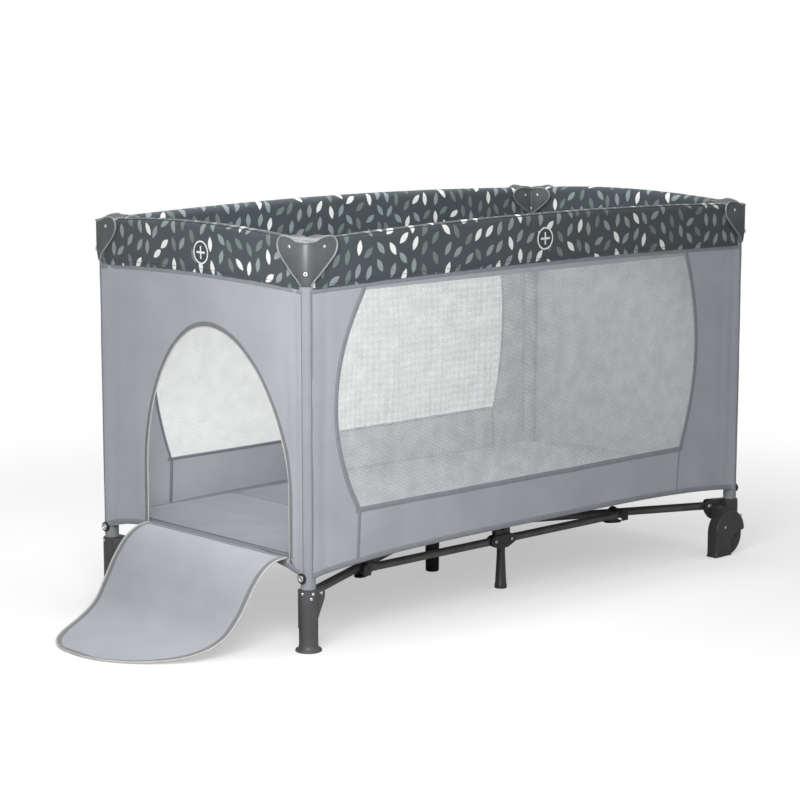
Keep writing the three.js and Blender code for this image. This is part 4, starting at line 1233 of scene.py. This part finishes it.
def buildBand(side):
    half, body, out, slot = bandHalf(side), sides[side]["body"], outwardOf(side), "printed_fabric"
    low, top, total = bandProfile(side, 0)
    steps = 220 if sides[side]["long"] else 110
    along = spread(-half, half, steps)
    bm, seams = bmesh.new(), bmesh.new()

    def flat(u, v):
        s = along[round(u * steps)]
        return s + sides[side]["printAt"], v * bandProfile(side, s)[2]

    gridOf(bm, steps, band["around"], lambda u, v: onBand(side, along[round(u * steps)], v), flat)
    # seam cord along the outer top edge, and the turned lower hem's stitched line
    for height, radius in ((top - low - 0.0015, 0.0009), (0.0075, 0.00035)):
        line = [onBand(side, s, height / total) for s in spread(-half + 0.004, half - 0.004, steps)]
        cordOn(seams, line, (out + Vector((0, 0, 0.3))).normalized(), radius, 0.0010, 8)
    seam = trimPiece(seams, f"bandSeam_{side}", "bandThread", body, slot, side)
    clothPiece(bm, f"bandCloth_{side}", "print", body, slot, [f"band_{side}"], thick=band["thick"],
               side=side)

    # a ring round a plain plus, on a dark disc
    rim, line, plus, face = band["badge"], band["badgeLine"], band["plus"], band["thick"] / 2
    s0, z0 = band["badgeAt"][side]

    def onFace(ds, dz, lift=0.0):
        # the band's outer face at an offset from the badge's centre
        low, _, total = bandProfile(side, s0 + ds)
        return placeOn(side, s0 + ds, bandPoint(side, s0 + ds, (z0 + dz - low) / total)[0] + lift, z0 + dz)

    def polar(radius, turn, lift=0.0):
        return onFace(radius * math.cos(2 * math.pi * turn), radius * math.sin(2 * math.pi * turn), lift)

    ground, badge = bmesh.new(), bmesh.new()
    gridOf(ground, 56, 12, lambda u, v: polar((rim - line) * v, u, face + 0.0003),
           lambda u, v: (u * rim * 6.28, v * rim))
    bmesh.ops.remove_doubles(ground, verts=ground.verts, dist=1e-6)
    disc = trimPiece(ground, f"badgeGround_{side}", "badgeGround", body, slot, side)
    disc.modifiers.new("thickness", "SOLIDIFY").thickness = 0.0004
    circle = [polar(rim - line / 2, turn) for turn in spread(0, 1, 56)]
    ribbonOn(badge, circle, out, line, band["weave"], face + 0.0004, closed=True)
    bmesh.ops.remove_doubles(badge, verts=badge.verts, dist=1e-6)
    for ds, dz in ((1, 0), (0, 1)):
        arm = [onFace(ds * d, dz * d) for d in spread(-plus, plus, 12)]
        ribbonOn(badge, arm, out, band["plusLine"], band["weave"] + 0.0001 * ds, face + 0.0006)
    trimPiece(badge, f"pressBadge_{side}", "badge", body, slot, side)


for side in sides:
    buildBand(side)
print("stage: bands")

# the unzipped door flap, in three stretches hinged to each other; points of its middle line in millimetres
flap = {"points": [(-617.5, 170.5), (-646, 166), (-673, 150), (-700.5, 117), (-726, 75), (-757, 37), (-805, 14.5),
                   (-870, 4.6), (-937, 2.6)],
        "joins": (0, 0.33, 0.62, 1), "half": 0.210, "straight": 0.0895, "middle": -0.0505, "lean": 0.0165,
        "gap": 0.00002, "thick": 0.0020, "tapeIn": 0.0088, "tape": 0.0090, "pipe": 0.0014, "seamAt": 0.012}


def smoothCurve(points, perSpan=40):
    # a centripetal Catmull-Rom curve through the points, as close samples
    p = [Vector((x / 1000, 0, z / 1000)) for x, z in points]
    p = [p[0] * 2 - p[1]] + p + [p[-1] * 2 - p[-2]]
    made = [p[1]]
    for a, b, c, d in zip(p, p[1:], p[2:], p[3:]):
        t0, t1, t2 = (b - a).length ** 0.5, (c - b).length ** 0.5, (d - c).length ** 0.5
        m1 = ((b - a) / t0 - (c - a) / (t0 + t1) + (c - b) / t1) * t1
        m2 = ((c - b) / t1 - (d - b) / (t1 + t2) + (d - c) / t2) * t1
        for t in spread(0, 1, perSpan)[1:]:
            made.append(b * (2 * t ** 3 - 3 * t ** 2 + 1) + m1 * (t ** 3 - 2 * t ** 2 + t)
                        + c * (3 * t ** 2 - 2 * t ** 3) + m2 * (t ** 3 - t ** 2))
    return made


flapCurve = smoothCurve(flap["points"])
flapLengths = lengthsAlong(flapCurve)
flapLength = flapLengths[-1]


def flapAt(share):
    # point and outward normal of the flap's middle line at a share of its length
    place, k = pointAt(flapCurve, flapLengths, share * flapLength)
    along = (flapCurve[min(len(flapCurve) - 1, k + 7)] - flapCurve[max(0, k - 6)]).normalized()
    return place, Vector((along.z, 0, -along.x))


def flapHalf(share):
    t = max(0, min(1, (share * flapLength - flap["straight"]) / (flapLength - flap["straight"])))
    return flap["half"] * math.sqrt(1 - t ** 2.2) + 0.006 * t


def onFlap(share, across):
    # across from -1 to 1 over the flap's width; it sags a little between its edges and rests on the floor
    point, normal = flapAt(share)
    y = flap["middle"] + flap["lean"] * share ** 3 + across * flapHalf(share)
    soft = 0.0022 * ripple(21.5, y, share * flapLength, 8, 9) * (1 - across ** 2) * ease(share / 0.1)
    soft += 0.0012 * ripple(31.5, y, share, 20, 6) * (1 - across ** 4)
    place = point + normal * soft
    return Vector((place.x, y, max(place.z, 0.0012 if share > 0.55 else 0)))


def buildFlap(index, name):
    f, last, seamAt = flap, index == 2, flap["seamAt"]
    a = f["joins"][index] + (f["gap"] / flapLength if index else 0.002)
    b = f["joins"][index + 1] - (0.0035 if last else f["gap"] / flapLength)

    def shareAt(v):
        return a + (b - a) * (1 - (1 - v) ** 2 if last else v)

    bm = bmesh.new()
    gridOf(bm, 44, 26 if last else 16, lambda u, v: onFlap(shareAt(v), u * 2 - 1),
           lambda u, v: ((u * 2 - 1) * flapHalf(shareAt(v)), shareAt(v) * flapLength))
    upwardFaces(bm)
    # the edge line, down each side or, on the last stretch, round the tip
    shares = [shareAt(v) for v in spread(0, 1, 26)]
    right, left = [(s, 1) for s in shares], [(s, -1) for s in shares]
    tapes, cords, lift = bmesh.new(), bmesh.new(), f["thick"] / 2 + 0.0003
    for line in [right + left[::-1]] if last else [right, left]:
        inner = []
        for share, way in line:
            back = min(share, 1 - f["tapeIn"] / flapLength * ease((share - 0.9) / 0.1))
            inner.append((back, max(0.0, 1 - f["tapeIn"] / flapHalf(back)) * way))
        ribbonOn(tapes, [onFlap(*at) for at in inner], [flapAt(s)[1] for s, _ in inner], f["tape"], 0.0011, lift)
        cordOn(cords, [onFlap(*at) for at in line], [flapAt(s)[1] for s, _ in line], f["pipe"], 0.0005)
    pieces = [trimPiece(tapes, f"flapTape_{name}", "darkTape", name, "grey_fabric"),
              trimPiece(cords, f"flapPiping_{name}", "piping", name, "grey_fabric")]
    if index == 0:
        seam, line = bmesh.new(), [onFlap(seamAt, across) for across in spread(-0.985, 0.985, 40)]
        ribbonOn(seam, line, flapAt(seamAt)[1], 0.0075, 0.0014, lift)
        pieces.append(trimPiece(seam, "flapSillSeam", "darkTape", name, "grey_fabric"))
    cloth = clothPiece(bm, f"flapCloth_{name}", "flapCloth", name, "grey_fabric",
                       [name], thick=f["thick"])
    for piece in [cloth, *pieces]:
        foldWith(piece)


for index, name in enumerate(("flap_top", "flap_middle", "flap_end")):
    buildFlap(index, name)
print("stage: door flap")

# the mattress: four boards in one quilted cover, folded along three seams; reach is as far as the walls let it puff
mattress = {"halfX": 0.5905, "halfY": 0.2885, "corner": 0.036, "low": 0.1560, "high": 0.1700,
            "voxel": 0.009, "quickVoxel": 0.014, "pressure": 4.0, "frames": 20, "quality": 5,
            "seams": (-0.297, 0.0, 0.297), "seamHalf": 0.006, "seamSlope": 0.02, "seamThick": 0.0045, "border": 0.009,
            "floor": 0.1533, "ceiling": 0.1695, "room": 0.004, "reachX": 0.5935, "reachY": 0.2915,
            "inset": 0.007, "cord": 0.0016, "seamTape": 0.003}


def padOutline(halfX, halfY, corner, steps=8):
    points = []
    for k, (x, y) in enumerate(((1, 1), (-1, 1), (-1, -1), (1, -1))):
        for a in [quarter * (k + i / steps) for i in range(steps + 1)]:
            points.append(Vector((x * (halfX - corner) + corner * math.cos(a),
                                  y * (halfY - corner) + corner * math.sin(a))))
    return points


def applyAll(piece):
    shape = bpy.data.meshes.new_from_object(piece.evaluated_get(bpy.context.evaluated_depsgraph_get()))
    piece.modifiers.clear()
    old = piece.data
    piece.data = shape
    bpy.data.meshes.remove(old)


def puffed(piece, m):
    # a short cloth pressure run, the rim and the seams held
    cloth = piece.modifiers.new("filling", "CLOTH")
    cloth.settings.use_pressure, cloth.settings.uniform_pressure_force = True, m["pressure"]
    cloth.settings.effector_weights.gravity = 0
    cloth.settings.vertex_group_mass = "seams"
    cloth.settings.quality = m["quality"]
    cloth.point_cache.frame_start, cloth.point_cache.frame_end = 1, m["frames"]
    scene = bpy.context.scene
    scene.frame_start, scene.frame_end = 1, m["frames"]
    for frameNumber in range(1, m["frames"] + 1):
        scene.frame_set(frameNumber)
    applyAll(piece)
    scene.frame_set(1)


def buildMattress():
    m = mattress
    middle, thick = (m["low"] + m["high"]) / 2, m["high"] - m["low"]
    bm = extruded([(p.x, p.y, m["low"]) for p in padOutline(m["halfX"], m["halfY"], m["corner"])], (0, 0, thick))
    made = finishPiece(bm, "mattressPad", "mattressCloth", "mattress", "mattress_fabric", ["mattress"], sharp=180)
    remesh = made.modifiers.new("remesh", "REMESH")
    remesh.mode, remesh.voxel_size = "VOXEL", m["voxel"]
    applyAll(made)
    held = made.vertex_groups.new(name="seams")
    for vert in made.data.vertices:
        near = min(abs(vert.co.x - s) for s in m["seams"])
        pinch = 1 - ease((near - m["seamHalf"]) / m["seamSlope"])
        vert.co.z = middle + (vert.co.z - middle) * (1 - pinch * (1 - m["seamThick"] / thick))
        if near < m["seamHalf"] or min(m["halfX"] - abs(vert.co.x), m["halfY"] - abs(vert.co.y)) < m["border"]:
            held.add([vert.index], 1.0, "REPLACE")
    puffed(made, m)
    for vert in made.data.vertices:  # soft stop against the base and the walls
        above, room = vert.co.z - m["ceiling"], m["room"]
        vert.co.z = m["ceiling"] + room * math.tanh(above / room) if above > 0 else max(m["floor"], vert.co.z)
        vert.co.x = max(-m["reachX"], min(m["reachX"], vert.co.x))
        vert.co.y = max(-m["reachY"], min(m["reachY"], vert.co.y))
    smooth = made.modifiers.new("smooth", "SUBSURF")
    smooth.levels = smooth.render_levels = 1
    applyAll(made)
    layer = made.data.uv_layers.new(name="cloth")
    for loop in made.data.loops:
        place = made.data.vertices[loop.vertex_index].co
        layer.data[loop.index].uv = (place.x, place.y + place.z)
    for face in made.data.polygons:
        face.use_smooth = True

    # corded edge and the stitched fold seams
    shape = made.data
    tree = BVHTree.FromPolygons([v.co.copy() for v in shape.vertices], [tuple(f.vertices) for f in shape.polygons])

    def onTop(x, y, lift=0.0):
        hit = tree.ray_cast(Vector((x, y, 1.0)), Vector((0, 0, -1)))[0]
        return Vector((x, y, (hit.z if hit else middle) + lift))

    cords, up = bmesh.new(), Vector((0, 0, 1))
    ring = padOutline(m["halfX"] - m["inset"], m["halfY"] - m["inset"], m["corner"])
    rim = []
    for a, b in zip(ring, ring[1:] + ring[:1]):
        steps = max(1, int((b - a).length / 0.02))
        rim += [onTop(*a.lerp(b, i / steps), 0.0002) for i in range(steps)]
    cordOn(cords, rim + [rim[0]], up, m["cord"], 0.0, 8)
    end = m["halfY"] - 0.006
    for s in m["seams"]:
        ribbonOn(cords, [onTop(s, y) for y in spread(-end, end, 40)], up, m["seamTape"], 0.0010, 0.0002)
    trimPiece(cords, "mattressPiping", "darkTape", "mattress", "mattress_fabric")


buildMattress()
print("stage: mattress")

# the base cloth that the tubes carry: four gores, each riding on its own diagonal tube
baseCloth = {"z": 0.1500, "thick": 0.0016, "reachX": 0.6115, "reachY": 0.3115, "notch": 0.020, "rim": 0.004,
             "keep": 0.06, "cells": (20, 12)}


def buildBaseCloth(corner):
    c = baseCloth
    x, y = corners[corner]
    notchX, notchY = cot["legX"] - c["notch"], cot["legY"] - c["notch"]
    xs, ys = [spread(0, notch, n - 1) + [reach] for notch, n, reach in
              zip((notchX, notchY), c["cells"], (c["reachX"], c["reachY"]))]

    def flat(u, v):
        return xs[round(u * c["cells"][0])], ys[round(v * c["cells"][1])]

    def point(u, v):
        px, py = flat(u, v)
        z = c["z"]
        if px == xs[-1]:  # the rim turns up to the walls' hems
            z = max(z, hemAt("door", min(py, wallHalf("door"))) + c["rim"])
        if py == ys[-1]:
            z = max(z, hemAt("front", min(px, wallHalf("front"))) + c["rim"])
        return Vector((x * px, y * py, z))

    bm = bmesh.new()
    gridOf(bm, *c["cells"], point, flat)
    middles = [(face, face.calc_center_median()) for face in bm.faces]
    spare = [face for face, at in middles if abs(at.x) > notchX and abs(at.y) > notchY]
    bmesh.ops.delete(bm, geom=spare, context="FACES")
    upwardFaces(bm)
    made = clothPiece(bm, f"baseCloth_{corner}", "baseCloth", f"diagonal_{corner}", "grey_fabric",
                      ["floor_sheet"] if corner == "front_left" else (), thick=c["thick"])
    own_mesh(made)


for corner in corners:
    buildBaseCloth(corner)
print("stage: base cloth")
